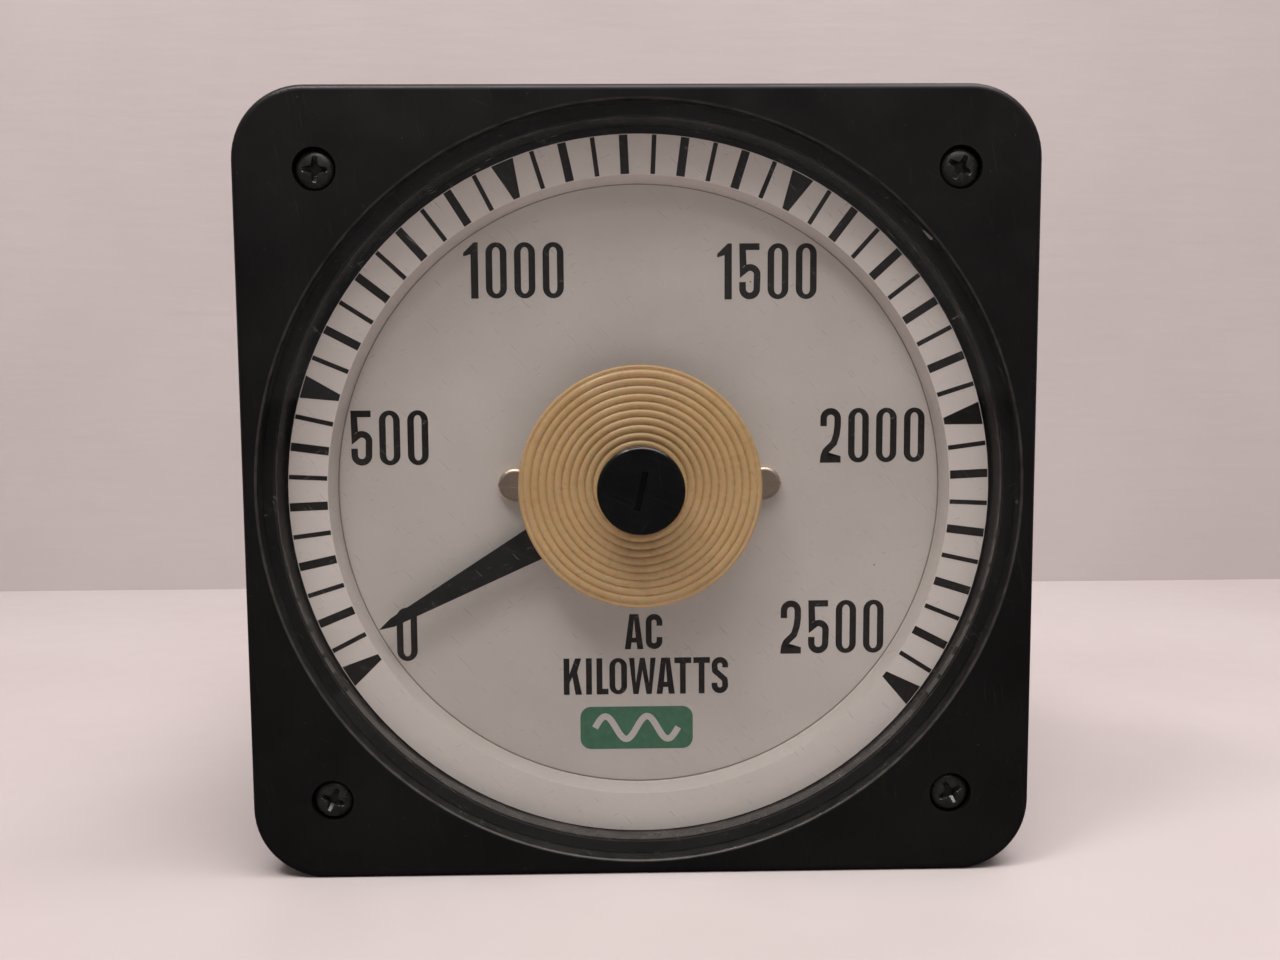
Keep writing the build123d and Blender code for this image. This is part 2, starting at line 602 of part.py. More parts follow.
def outer_pole_ring():
    """Soft iron ring with a lug at 6 o'clock that leads the magnet's flux in."""
    lug_top_z, screw_depth = -24.0, 5.0
    iron = ring(POLE_OUTER_R, POLE_INNER_R, FRAME_BACK_Y, CORE_BACK_Y)
    iron += block(-POLE_LUG_HALF_WIDTH, POLE_LUG_HALF_WIDTH, FRAME_BACK_Y, CORE_FRONT_Y,
                  MAGNET_BOTTOM_Z, lug_top_z)
    for angle in POLE_SCREW_ANGLES:
        iron -= disc(POLE_SCREW_SHANK_R, FRAME_BACK_Y, POLE_SCREW_TIP_Y, *on_circle(POLE_SCREW_R, angle))
    for x in (-REAR_BRIDGE_SCREW_X, REAR_BRIDGE_SCREW_X):
        iron -= disc(BRIDGE_SCREW_R, CORE_BACK_Y - screw_depth, CORE_BACK_Y, x)
    return iron


def pole_ring_screws():
    head_r, head_height = 2.0, 1.4
    return Compound([screw(head_r, FRAME_FRONT_Y - head_height, FRAME_FRONT_Y, POLE_SCREW_SHANK_R,
                           POLE_SCREW_TIP_Y, *on_circle(POLE_SCREW_R, angle)) for angle in POLE_SCREW_ANGLES])


def core_ring():
    """The inner iron ring, slit at 6 o'clock so that the coil can be slipped on."""
    slit_half, slit_top_z, screw_depth = 0.5, 1.0 - CORE_INNER_R, 5.0
    iron = ring(CORE_OUTER_R, CORE_INNER_R, CORE_FRONT_Y, CORE_BACK_Y)
    iron -= block(-slit_half, slit_half, CORE_FRONT_Y, CORE_BACK_Y, -CORE_OUTER_R, slit_top_z)
    for x in YOKE_SCREW_X:
        iron -= disc(YOKE_SCREW_R, CORE_BACK_Y - screw_depth, CORE_BACK_Y, x, YOKE_SCREW_Z)
    return iron


def magnet():
    return block(-MAGNET_HALF_WIDTH, MAGNET_HALF_WIDTH, CORE_FRONT_Y, CORE_BACK_Y,
                 MAGNET_BOTTOM_Z, MAGNET_TOP_Z)


def core_yoke():
    half_width, top_z = 6.0, -9.5
    yoke = block(-half_width, half_width, CORE_BACK_Y, YOKE_BACK_Y, MAGNET_BOTTOM_Z, top_z)
    for x in YOKE_SCREW_X:
        yoke -= disc(YOKE_SCREW_R, CORE_BACK_Y, YOKE_BACK_Y, x, YOKE_SCREW_Z)
    return yoke


def core_yoke_screws():
    head_r, head_height, grip = 1.5, 1.0, 4.5
    return Compound([screw(head_r, YOKE_BACK_Y + head_height, YOKE_BACK_Y, YOKE_SCREW_R,
                           CORE_BACK_Y - grip, x, YOKE_SCREW_Z) for x in YOKE_SCREW_X])


def rear_bridge():
    half_height, back_y = 4.0, REAR_BRIDGE_Y + REAR_BRIDGE_THICKNESS
    inner_reach, spring_post_r, spring_post_y = POLE_INNER_R + 0.5, 0.45, REAR_SPRING_Y - 0.1
    bar = block(-POLE_OUTER_R, POLE_OUTER_R, CORE_BACK_Y, back_y, -half_height, half_height)
    bar -= block(-inner_reach, inner_reach, CORE_BACK_Y, REAR_BRIDGE_Y, -half_height, half_height)
    bar += disc(spring_post_r, spring_post_y, REAR_BRIDGE_Y, SPRING_STUD_R)
    bar -= disc(REAR_JEWEL_SCREW_R, REAR_BRIDGE_Y, back_y)
    for x in (-REAR_BRIDGE_SCREW_X, REAR_BRIDGE_SCREW_X):
        bar -= disc(BRIDGE_SCREW_R, CORE_BACK_Y, back_y, x)
    return bar & disc(POLE_OUTER_R, CORE_BACK_Y, back_y)


def rear_bridge_screws():
    head_r, head_height, grip, seat_y = 1.9, 1.3, 4.5, REAR_BRIDGE_Y + REAR_BRIDGE_THICKNESS
    return Compound([screw(head_r, seat_y + head_height, seat_y, BRIDGE_SCREW_R, CORE_BACK_Y - grip, x)
                     for x in (-REAR_BRIDGE_SCREW_X, REAR_BRIDGE_SCREW_X)])


def rear_jewel_screw():
    """Its lock nut bears on the back of the rear bridge."""
    tip_y, slot_depth, slot_half, locknut_r, locknut_height = 29.5, 0.6, 0.2, 2.4, 1.2
    locknut_y = REAR_BRIDGE_Y + REAR_BRIDGE_THICKNESS
    body = disc(REAR_JEWEL_SCREW_R, REAR_JEWEL_Y, tip_y)
    body += hexagon(locknut_r, locknut_y, locknut_y + locknut_height)
    return body - block(-REAR_JEWEL_SCREW_R, REAR_JEWEL_SCREW_R, tip_y - slot_depth, tip_y,
                        -slot_half, slot_half)


def movement_leads():
    """Two stiff wires from the movement frame's tags to the transducer board."""
    wire_r, bend_r = 0.6, 9.0
    wires = []
    for side in (-1, 1):
        path = FilletPolyline((side * 22, FRAME_BACK_Y, -28), (side * 22, 14, -28), (side * 25, 30, -30),
                              (side * 25, TRANSDUCER_BOARD_Y, -30), radius=bend_r)
        wires.append(sweep(Plane(path @ 0, z_dir=path % 0) * Circle(wire_r), path=path))
    return Compound(wires)


def board(y_front, holes):
    outline = Circle(BOARD_R)
    for x, z, radius in holes:
        outline -= Pos(x, z) * Circle(radius)
    return plate(outline, y_front, y_front + BOARD_THICKNESS)


def spacer_places():
    return [on_circle(SPACER_PITCH_R, angle) for angle in RIB_ANGLES]


def terminal_places():
    return [(x, z) for z in TERMINAL_Z for x in TERMINAL_X]


def transducer_board():
    return board(TRANSDUCER_BOARD_Y, [(x, z, SPACER_SCREW_R) for x, z in spacer_places()])


def input_board():
    return board(INPUT_BOARD_Y, [(x, z, TERMINAL_SPIGOT_R) for x, z in terminal_places()])


def board_spacers():
    """Hexagonal posts: one set between the boards and one to the rear wall."""
    front_y, screw_depth = TRANSDUCER_BOARD_Y + BOARD_THICKNESS, 8.0
    spacers = []
    for x, z in spacer_places():
        front = hexagon(SPACER_R, front_y, INPUT_BOARD_Y, x, z)
        spacers.append(front - disc(SPACER_SCREW_R, front_y, front_y + screw_depth, x, z))
        spacers.append(hexagon(SPACER_R, INPUT_BOARD_Y + BOARD_THICKNESS, REAR_WALL_Y, x, z))
    return Compound(spacers)


def board_screws():
    head_r, head_height, length = 2.4, 1.5, 8.0
    return Compound([screw(head_r, TRANSDUCER_BOARD_Y - head_height, TRANSDUCER_BOARD_Y, SPACER_SCREW_R,
                           TRANSDUCER_BOARD_Y + length, x, z) for x, z in spacer_places()])


def transducer_capacitors():
    height, can_r, edge_r, places = 13.0, 4.5, 0.6, ((-20, 26), (-9, 30), (9, 30), (20, 26))
    cans = []
    for x, z in places:
        can = disc(can_r, TRANSDUCER_BOARD_Y - height, TRANSDUCER_BOARD_Y, x, z)
        cans.append(fillet(can.edges().sort_by(Axis.Y)[0], edge_r))
    return Compound(cans)


def transducer_resistors():
    """Axial resistors lying on the board in two rows."""
    body_r, body_length, wire_r, wire_length, lift = 1.2, 6.5, 0.3, 9.0, 1.6
    columns, rows, y_middle = range(-15, 16, 6), (14.0, -14.0), TRANSDUCER_BOARD_Y - lift
    resistors = []
    for x in columns:
        for z in rows:
            body = Pos(x, y_middle, z) * Cylinder(body_r, body_length)
            body += Pos(x, y_middle, z) * Cylinder(wire_r, wire_length)
            for end in (-1, 1):
                foot_z = z + end * (wire_length / 2 - wire_r)
                body += disc(wire_r, y_middle, TRANSDUCER_BOARD_Y, x, foot_z)
            resistors.append(body)
    return Compound(resistors)


def amplifier_chips():
    """Dual in-line packages with a row of legs down each side."""
    length, width, low, high, pitch, legs = 19.0, 6.4, 0.6, 3.8, 2.54, 7
    leg_half, leg_out, leg_top, rows = 0.4, 0.6, 2.4, (-4.5, 4.5, -24.0)
    chips = []
    for z in rows:
        chip = block(-length / 2, length / 2, TRANSDUCER_BOARD_Y - high, TRANSDUCER_BOARD_Y - low,
                     z - width / 2, z + width / 2)
        for leg in range(legs):
            x = (leg - (legs - 1) / 2) * pitch
            for side in (-1, 1):
                z_low, z_high = sorted((z + side * width / 2, z + side * (width / 2 + leg_out)))
                chip += block(x - leg_half, x + leg_half, TRANSDUCER_BOARD_Y - leg_top, TRANSDUCER_BOARD_Y,
                              z_low, z_high)
        chips.append(chip)
    return Compound(chips)


def calibration_trimmers():
    """Square bodies that stand off the board, each with a round adjusting screw."""
    places, half_length, half_width, z, height = (-26.0, 26.0), 4.8, 2.5, -3.5, 6.5
    screw_r, screw_height, screw_offset = 1.1, 1.5, 3.0
    top_y = TRANSDUCER_BOARD_Y - height
    trimmers = []
    for x in places:
        body = block(x - half_length, x + half_length, top_y, TRANSDUCER_BOARD_Y,
                     z - half_width, z + half_width)
        trimmers.append(body + disc(screw_r, top_y - screw_height, top_y, x + screw_offset, z))
    return Compound(trimmers)


def transformer_cores():
    """Laminated iron with two windows, standing on the input board."""
    half_x, half_z, height, leg, window_x, band = 12.0, 9.0, 16.0, 3.5, 8.5, 4.0
    cores = []
    for x, z in TRANSFORMER_PLACES:
        core = block(x - half_x, x + half_x, INPUT_BOARD_Y - height, INPUT_BOARD_Y, z - half_z, z + half_z)
        for side in (-1, 1):
            x_low, x_high = sorted((x + side * leg, x + side * window_x))
            core -= block(x_low, x_high, INPUT_BOARD_Y - height + band, INPUT_BOARD_Y - band,
                          z - half_z, z + half_z)
        cores.append(core)
    return Compound(cores)


def transformer_windings():
    """One coil round the middle leg of each core."""
    half_x, half_z, y_low, y_high = 8.3, 13.0, INPUT_BOARD_Y - 11.8, INPUT_BOARD_Y - 4.2
    corner_r, leg_width, leg_depth = 3.0, 7.0, 18.0
    coils = []
    for x, z in TRANSFORMER_PLACES:
        coil = RectangleRounded(2 * half_x, 2 * half_z, corner_r) - Rectangle(leg_width, leg_depth)
        outline = Pos(x, z) * coil
        coils.append(plate(outline, y_low, y_high))
    return Compound(coils)


def terminal_studs():
    head_r, head_y, tip_chamfer = 4.5, REAR_WALL_Y - 4.0, 0.5
    studs = []
    for x, z in terminal_places():
        shank = disc(TERMINAL_R, REAR_WALL_Y, TERMINAL_TIP_Y, x, z)
        shank = chamfer(shank.edges().sort_by(Axis.Y)[-1], tip_chamfer)
        spigot = disc(TERMINAL_SPIGOT_R, INPUT_BOARD_Y, head_y, x, z)
        studs.append(shank + hexagon(head_r, head_y, REAR_WALL_Y, x, z) + spigot)
    return Compound(studs)


def terminal_washers():
    """One under each nut, with a gap for a wire lug below the outer one."""
    outer_y = CASE_LENGTH + WASHER_THICKNESS + NUT_HEIGHT + LUG_GAP
    return Compound([ring(WASHER_R, TERMINAL_R, y, y + WASHER_THICKNESS, x, z)
                     for x, z in terminal_places() for y in (CASE_LENGTH, outer_y)])


def terminal_nuts():
    first_y = CASE_LENGTH + WASHER_THICKNESS
    second_y = first_y + NUT_HEIGHT + LUG_GAP + WASHER_THICKNESS
    nuts = []
    for x, z in terminal_places():
        for y in (first_y, second_y):
            nut = hexagon(NUT_R, y, y + NUT_HEIGHT, x, z)
            nuts.append(nut - disc(TERMINAL_R, y, y + NUT_HEIGHT, x, z))
    return Compound(nuts)


def rating_label():
    """A plain metal plate under the terminals."""
    z, width, height, corner_r, thickness = -34.0, 36.0, 12.0, 1.5, 0.3
    outline = Pos(0, z) * RectangleRounded(width, height, corner_r)
    return plate(outline, CASE_LENGTH, CASE_LENGTH + thickness)


PIECES = (
    front_cover, cover_gasket, cover_screws, cover_inserts, window, window_gasket,
    case, mounting_flange, back_plate, mounting_studs, zero_adjuster, zero_adjuster_seal, zero_adjuster_driver,
    hub_cover, hub_cover_pins, scale_ring, dial_plate, dial_screws, dial_posts,
    front_bridge, front_bridge_screws, front_jewel_screw, pivot_jewels, zero_lever, front_hairspring,
    pointer, pointer_hub, balance_weights, staff, coil_former, coil_winding, coil_arms, stop_pins,
    movement_frame, movement_screws, outer_pole_ring, pole_ring_screws, core_ring, magnet,
    core_yoke, core_yoke_screws, rear_bridge, rear_bridge_screws, rear_jewel_screw,
    rear_hairspring, movement_leads, transducer_board, transducer_capacitors, transducer_resistors,
    amplifier_chips, calibration_trimmers, input_board, board_spacers, board_screws,
    transformer_cores, transformer_windings, terminal_studs, terminal_washers, terminal_nuts,
    rating_label,
)

os.makedirs("parts", exist_ok=True)
for piece in PIECES:
    export_step(piece(), f"parts/{piece.__name__}.step")
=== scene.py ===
import json
import math

import bmesh
import bpy
from mathutils import Matrix, Vector


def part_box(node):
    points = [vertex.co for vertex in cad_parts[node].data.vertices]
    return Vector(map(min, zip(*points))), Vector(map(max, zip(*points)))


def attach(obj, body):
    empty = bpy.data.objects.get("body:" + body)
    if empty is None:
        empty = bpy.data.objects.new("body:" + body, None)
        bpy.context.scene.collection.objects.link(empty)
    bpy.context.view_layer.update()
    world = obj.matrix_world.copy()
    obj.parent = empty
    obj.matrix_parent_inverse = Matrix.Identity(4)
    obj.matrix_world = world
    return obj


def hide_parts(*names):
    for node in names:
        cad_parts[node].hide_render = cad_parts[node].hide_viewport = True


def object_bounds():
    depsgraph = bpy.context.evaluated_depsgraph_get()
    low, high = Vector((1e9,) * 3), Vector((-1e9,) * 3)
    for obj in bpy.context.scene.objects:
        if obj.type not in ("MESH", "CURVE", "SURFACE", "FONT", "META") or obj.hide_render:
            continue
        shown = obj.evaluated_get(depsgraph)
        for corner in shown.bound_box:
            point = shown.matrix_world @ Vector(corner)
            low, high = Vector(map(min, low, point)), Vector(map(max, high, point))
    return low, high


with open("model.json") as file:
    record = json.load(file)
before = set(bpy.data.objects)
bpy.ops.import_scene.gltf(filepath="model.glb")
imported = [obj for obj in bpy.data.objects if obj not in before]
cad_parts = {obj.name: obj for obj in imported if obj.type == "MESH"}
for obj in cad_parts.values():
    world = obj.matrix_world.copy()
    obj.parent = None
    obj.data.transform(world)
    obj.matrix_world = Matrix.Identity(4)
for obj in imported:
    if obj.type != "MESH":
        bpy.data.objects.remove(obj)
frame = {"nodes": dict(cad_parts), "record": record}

MM = 0.001
CAD_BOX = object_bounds()
NODES = frame["nodes"]
HOUSING = "housing"

# Places that the frame gives, in metres: the dial faces -Y
FRONT_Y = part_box("front_cover")[0][1]
RING_LOW, RING_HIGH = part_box("scale_ring")
RING_FRONT_Y, RING_OUTER_R, RING_Z = RING_LOW[1], RING_HIGH[0], (RING_LOW[2] + RING_HIGH[2]) / 2
DIAL_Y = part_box("dial_plate")[0][1]
STUDS_LOW, STUDS_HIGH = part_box("mounting_studs")
TERMINALS_LOW, TERMINALS_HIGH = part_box("terminal_studs")

# Places and sizes that a box doesn't give
REAR_WALL_Y = 84 * MM
TERMINAL_COLUMNS = [-24 * MM, -8 * MM, 8 * MM, 24 * MM]
OPENING_R, LIP_R = 51.0 * MM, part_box("window")[1][0] + 0.2 * MM
RING_FOOT_R = 43.65 * MM

# Hardware
HEX_STEP = math.radians(60)
STUD_R, STUD_HEAD_R, STUD_COLLAR_R, STUD_COLLAR_FRONT_Y = 2.4 * MM, 4.0 * MM, 3.2 * MM, -0.8 * MM
STUD_TIP_CHAMFER, TERMINAL_TIP_CHAMFER = 0.6 * MM, 0.5 * MM
TERMINAL_HEAD_R, TERMINAL_HEAD_HEIGHT, TERMINAL_SPIGOT_R = 4.5 * MM, 4.0 * MM, 1.5 * MM
TERMINAL_HEAD_FLAT_R = TERMINAL_HEAD_R * math.cos(HEX_STEP / 2)
NUT_R, NUT_HEIGHT = 4.6 * MM, 3.2 * MM
THREAD_PITCH, THREAD_DEPTH = 0.79 * MM, 0.42 * MM
COVER_SCREW_CAD_R, COVER_SCREW_R, COVER_SCREW_SHANK_R = 2.45 * MM, 2.62 * MM, 1.5 * MM
COVER_SCREW_TURNS = (22.0, 2.0, -28.0, 30.0)
COUNTERBORE_DEPTH, SCREW_CROWN = 1.9 * MM, 0.8 * MM
RECESS_ARM, RECESS_HALF, RECESS_DEPTH = 1.75 * MM, 0.42 * MM, 1.1 * MM
RECESS_WALL, RECESS_CENTRE_R, RECESS_CENTRE_EDGE = 0.10 * MM, 0.78 * MM, 0.12 * MM

# Printing on the dial
INK_THICKNESS = 0.02 * MM
MARK_INNER_R = 44.6 * MM
MARK_OUTER_R = RING_OUTER_R - 0.1 * MM
FIRST_MARK_ANGLE = -122.2
MARK_STEP = 4.992
MARKS, MARKS_PER_FIGURE, MARKS_PER_HUNDRED = 51, 10, 2
DIGIT_WIDTH, DIGIT_HEIGHT, DIGIT_STROKE, DIGIT_PITCH = 3.0 * MM, 7.95 * MM, 0.95 * MM, 4.07 * MM
ONE_WIDTH = 0.70 * DIGIT_WIDTH
LETTER_STROKE = 0.86 * MM

# Dirt and wear
DUST = (0.30, 0.27, 0.25, 1.0)
HAIRLINE = (0.25, 0.23, 0.22, 1.0)
HAIRLINE_TURNS = (24.0, -52.0, 81.0)


# ---------------------------------------------------------------- meshes

def make_object(name, bm, body, material, smooth_angle=None):
    """Turns a bmesh into a piece that rides on a body."""
    bmesh.ops.recalc_face_normals(bm, faces=bm.faces)
    mesh = bpy.data.meshes.new(name)
    bm.to_mesh(mesh)
    bm.free()
    mesh.materials.append(material)
    piece = bpy.data.objects.new(name, mesh)
    bpy.context.scene.collection.objects.link(piece)
    if smooth_angle is not None:
        mesh.shade_smooth()
        mesh.set_sharp_from_angle(angle=math.radians(smooth_angle))
    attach(piece, body)
    return piece


def add_flat(bm, loops, y_back, y_front):
    """A flat shape in X and Z with optional holes, between two depths. The first loop is the outline."""
    rings = []
    for y in (y_back, y_front):
        edges, layer = [], []
        for loop in loops:
            verts = [bm.verts.new((x, y, z)) for x, z in loop]
            layer.append(verts)
            edges += [bm.edges.new((a, b)) for a, b in zip(verts, verts[1:] + verts[:1])]
        bmesh.ops.triangle_fill(bm, use_beauty=True, use_dissolve=False, edges=edges)
        rings.append(layer)
    for back, front in zip(*rings):
        for index in range(len(back)):
            after = (index + 1) % len(back)
            bm.faces.new((back[index], back[after], front[after], front[index]))


def add_lathe(bm, profile, segments, x=0.0, z=0.0):
    """A (radius, y) profile turned about an axis along Y at x and z."""
    on_axis, rings = 1e-9, []
    for radius, y in profile:
        if radius < on_axis:
            rings.append([bm.verts.new((x, y, z))])
            continue
        ring = []
        for index in range(segments):
            angle = 2 * math.pi * index / segments
            ring.append(bm.verts.new((x + radius * math.sin(angle), y, z + radius * math.cos(angle))))
        rings.append(ring)
    for first, second in zip(rings, rings[1:]):
        join_rings(bm, first, second)


def join_rings(bm, first, second):
    """Faces between two rings of points, either of which may be a single point."""
    count = max(len(first), len(second))
    for index in range(count):
        after = (index + 1) % count
        if len(first) == 1:
            bm.faces.new((first[0], second[after], second[index]))
        elif len(second) == 1:
            bm.faces.new((first[index], first[after], second[0]))
        else:
            bm.faces.new((first[index], first[after], second[after], second[index]))


# ---------------------------------------------------------------- printed characters
# Each glyph fills a box of width w and height h with strokes of width s, and its fractions are the
# proportions of the letter. It is a list of shapes, each with its outline first and its holes after.

def arc(cx, cz, rx, rz, start, stop, steps=14):
    """Points on an ellipse from one angle to another, in degrees anticlockwise from +X."""
    angles = [math.radians(start + (stop - start) * step / steps) for step in range(steps + 1)]
    return [(cx + rx * math.cos(a), cz + rz * math.sin(a)) for a in angles]


def stroke(path, width):
    """The outline of a line of constant width with mitred corners."""
    mitre_limit, left, right = 0.5, [], []
    for index, (x, z) in enumerate(path):
        before = Vector(path[max(index - 1, 0)])
        here = Vector((x, z))
        after = Vector(path[min(index + 1, len(path) - 1)])
        incoming = (here - before).normalized() if index else (after - here).normalized()
        outgoing = (after - here).normalized() if index < len(path) - 1 else incoming
        tangent = (incoming + outgoing).normalized()
        normal = Vector((-tangent.y, tangent.x))
        reach = width / 2 / max(normal.dot(Vector((-incoming.y, incoming.x))), mitre_limit)
        left.append((x + normal.x * reach, z + normal.y * reach))
        right.append((x - normal.x * reach, z - normal.y * reach))
    return left + right[::-1]


def stadium(width, height, inset=0.0):
    """The loop of a tall round-ended character, inset by a stroke for its inside. Its ends are thinner."""
    end_share = 0.72
    radius_x, radius_z = width / 2 - inset, width / 2 - end_share * inset
    middle = width / 2
    top = arc(middle, height - width / 2, radius_x, radius_z, 0, 180)
    bottom = arc(middle, width / 2, radius_x, radius_z, 180, 360)
    return top + bottom


def glyph_zero(w, h, s):
    return [[stadium(w, h), stadium(w, h, s)]]


def glyph_one(w, h, s):
    """A plain bar with a short slanted flag."""
    bar = 0.50 * w
    return [[[(w - bar, 0), (w, 0), (w, h), (w - 0.55 * bar, h), (0, h - 1.55 * s), (0, h - 2.1 * s),
              (w - bar, h - 1.75 * s)]]]


def glyph_two(w, h, s):
    half = s / 2
    r = w / 2 - half
    bowl = arc(w / 2, h - w / 2, r, r, 180, 0)
    path = [(half, h - 0.33 * h)] + bowl + [(w - half, h - 0.33 * h), (w - half - 0.05 * w, 0.52 * h),
                                            (w / 2 + 0.16 * w, 0.36 * h), (half + 0.12 * w, 0.22 * h),
                                            (half + 0.02 * w, 0.13 * h), (half, half), (w, half)]
    return [[stroke(path, s)]]


def glyph_five(w, h, s):
    half = s / 2
    r = w / 2 - half
    path = [(w * 0.97, h - half), (half, h - half), (half, 0.49 * h)]
    path += arc(w / 2 + 0.02 * w, 0.63 * h - w / 2, r, r, 140, 0) + arc(w / 2, w / 2, r, r, 0, -180)
    path += [(half, 0.31 * h)]
    return [[stroke(path, s)]]


def glyph_a(w, h, s):
    top, bar_low, bar_high = 0.24 * w, 0.19 * h, 0.33 * h
    slope = (w / 2 - top) / h
    outer = [(0, 0), (s * 1.02, 0), (s * 1.02 + slope * bar_low, bar_low),
             (w - s * 1.02 - slope * bar_low, bar_low), (w - s * 1.02, 0), (w, 0),
             (w / 2 + top, h), (w / 2 - top, h)]
    hole = [(s * 1.02 + slope * bar_high, bar_high), (w - s * 1.02 - slope * bar_high, bar_high),
            (w / 2, 0.86 * h)]
    return [[outer, hole]]


def glyph_c(w, h, s):
    half = s / 2
    r = w / 2 - half
    path = [(w - half, 0.66 * h)] + arc(w / 2, h - w / 2, r, r, 0, 180) + arc(w / 2, w / 2, r, r, 180, 360)
    return [[stroke(path + [(w - half, 0.34 * h)], s)]]


def glyph_k(w, h, s):
    join = 0.42 * h
    return [[[(0, 0), (s, 0), (s, join - 0.1 * h), (s + 0.16 * w, join + 0.07 * h), (w - 1.12 * s, 0),
              (w, 0), (s + 0.42 * w, 0.62 * h), (w - 0.03 * w, h), (w - 1.15 * s, h), (s, 0.57 * h),
              (s, h), (0, h)]]]


def glyph_i(w, h, s):
    return [[[(0, 0), (s, 0), (s, h), (0, h)]]]


def glyph_l(w, h, s):
    return [[[(0, 0), (w, 0), (w, s), (s, s), (s, h), (0, h)]]]


def glyph_w(w, h, s):
    """Four legs: the two low points are blunt and the middle peak stands full height."""
    foot, dip = 0.155 * w, 0.30 * h
    low_a, low_b = 0.255 * w, 0.745 * w
    half_foot = foot / 2 + 0.02 * w
    return [[[(0, h), (low_a - half_foot, 0), (low_a + half_foot, 0),
              (w / 2, h - dip - 0.05 * h), (low_b - half_foot, 0), (low_b + half_foot, 0),
              (w, h), (w - 0.93 * s, h), (low_b + 0.005 * w, dip), (w / 2 + 0.42 * s, h),
              (w / 2 - 0.42 * s, h), (low_a - 0.005 * w, dip), (0.93 * s, h)]]]


def glyph_t(w, h, s):
    left, right = w / 2 - s / 2, w / 2 + s / 2
    bar = h - s
    return [[[(left, 0), (right, 0), (right, bar), (w, bar), (w, h), (0, h), (0, bar), (left, bar)]]]


def glyph_s(w, h, s):
    half = s / 2
    r = w / 2 - half
    path = [(w - half, 0.71 * h)] + arc(w / 2, h - w / 2, r, r, 0, 180, 10)
    path += [(half + 0.03 * w, 0.62 * h), (w / 2, 0.5 * h), (w - half - 0.03 * w, 0.38 * h)]
    path += arc(w / 2, w / 2, r, r, 0, -180, 10) + [(half, 0.29 * h)]
    return [[stroke(path, s)]]


GLYPHS = {"0": glyph_zero, "1": glyph_one, "2": glyph_two, "5": glyph_five,
          "A": glyph_a, "C": glyph_c, "I": glyph_i, "K": glyph_k, "L": glyph_l,
          "O": glyph_zero, "S": glyph_s, "T": glyph_t, "W": glyph_w}


def add_glyph(bm, character, x, z, width, height, line):
    """A character printed on the dial, with its left foot at x and z."""
    for loops in GLYPHS[character](width, height, line):
        placed = [[(x + px, z + pz) for px, pz in loop] for loop in loops]
        add_flat(bm, placed, DIAL_Y, DIAL_Y - INK_THICKNESS)


def dial_numerals(ink):
    """Upright figures inside the scale, one every 500, each with the place of its left foot."""
    bm = bmesh.new()
    places = {"0": (-35.75, -25.9), "500": (-41.65, 2.95), "1000": (-25.9, 26.8), "1500": (10.4, 26.5),
              "2000": (26.3, 2.85), "2500": (20.65, -25.4)}
    for text, (x, z) in places.items():
        for place, character in enumerate(text):
            width = ONE_WIDTH if character == "1" else DIGIT_WIDTH
            left = x * MM + place * DIGIT_PITCH + DIGIT_WIDTH - width
            add_glyph(bm, character, left, z * MM, width, DIGIT_HEIGHT, DIGIT_STROKE)
    make_object("dial_numerals", bm, HOUSING, ink)


def dial_legend(ink):
    """The measured quantity under the hub cover: each letter with its left end and its width."""
    lines = ((-24.5, 5.25, (("A", -2.35, 2.75), ("C", 0.75, 2.45))),
             (-31.25, 5.45, (("K", -11.4, 2.7), ("I", -8.1, 0.85), ("L", -6.55, 1.75), ("O", -4.65, 2.6),
                             ("W", -1.75, 3.95), ("A", 2.3, 2.7), ("T", 4.95, 2.5), ("T", 7.75, 2.45),
                             ("S", 10.45, 2.45))))
    bm = bmesh.new()
    for foot, height, letters in lines:
        for character, left, width in letters:
            add_glyph(bm, character, left * MM, foot * MM, width * MM, height * MM, LETTER_STROKE)
    make_object("dial_legend", bm, HOUSING, ink)


def scale_marks(ink):
    """Fifty-one marks: a tapered one every 500, a thick one every 100 and a thin one between."""
    bm = bmesh.new()
    thin, thick, taper_inner, taper_outer = 0.65 * MM, 1.2 * MM, 0.95 * MM, 3.3 * MM
    for mark in range(MARKS):
        if mark % MARKS_PER_FIGURE == 0:
            inner, outer = taper_inner, taper_outer
        else:
            inner = outer = thick if mark % MARKS_PER_HUNDRED == 0 else thin
        turn = Matrix.Rotation(-math.radians(FIRST_MARK_ANGLE + mark * MARK_STEP), 2)
        shoulder = math.sqrt(MARK_OUTER_R ** 2 - outer ** 2 / 4)
        corners = [(-inner / 2, MARK_INNER_R), (inner / 2, MARK_INNER_R),
                   (outer / 2, shoulder), (0.0, MARK_OUTER_R), (-outer / 2, shoulder)]
        loop = [(x, z + RING_Z) for x, z in (turn @ Vector(corner) for corner in corners)]
        add_flat(bm, [loop], RING_FRONT_Y, RING_FRONT_Y - INK_THICKNESS)
    make_object("scale_marks", bm, HOUSING, ink)


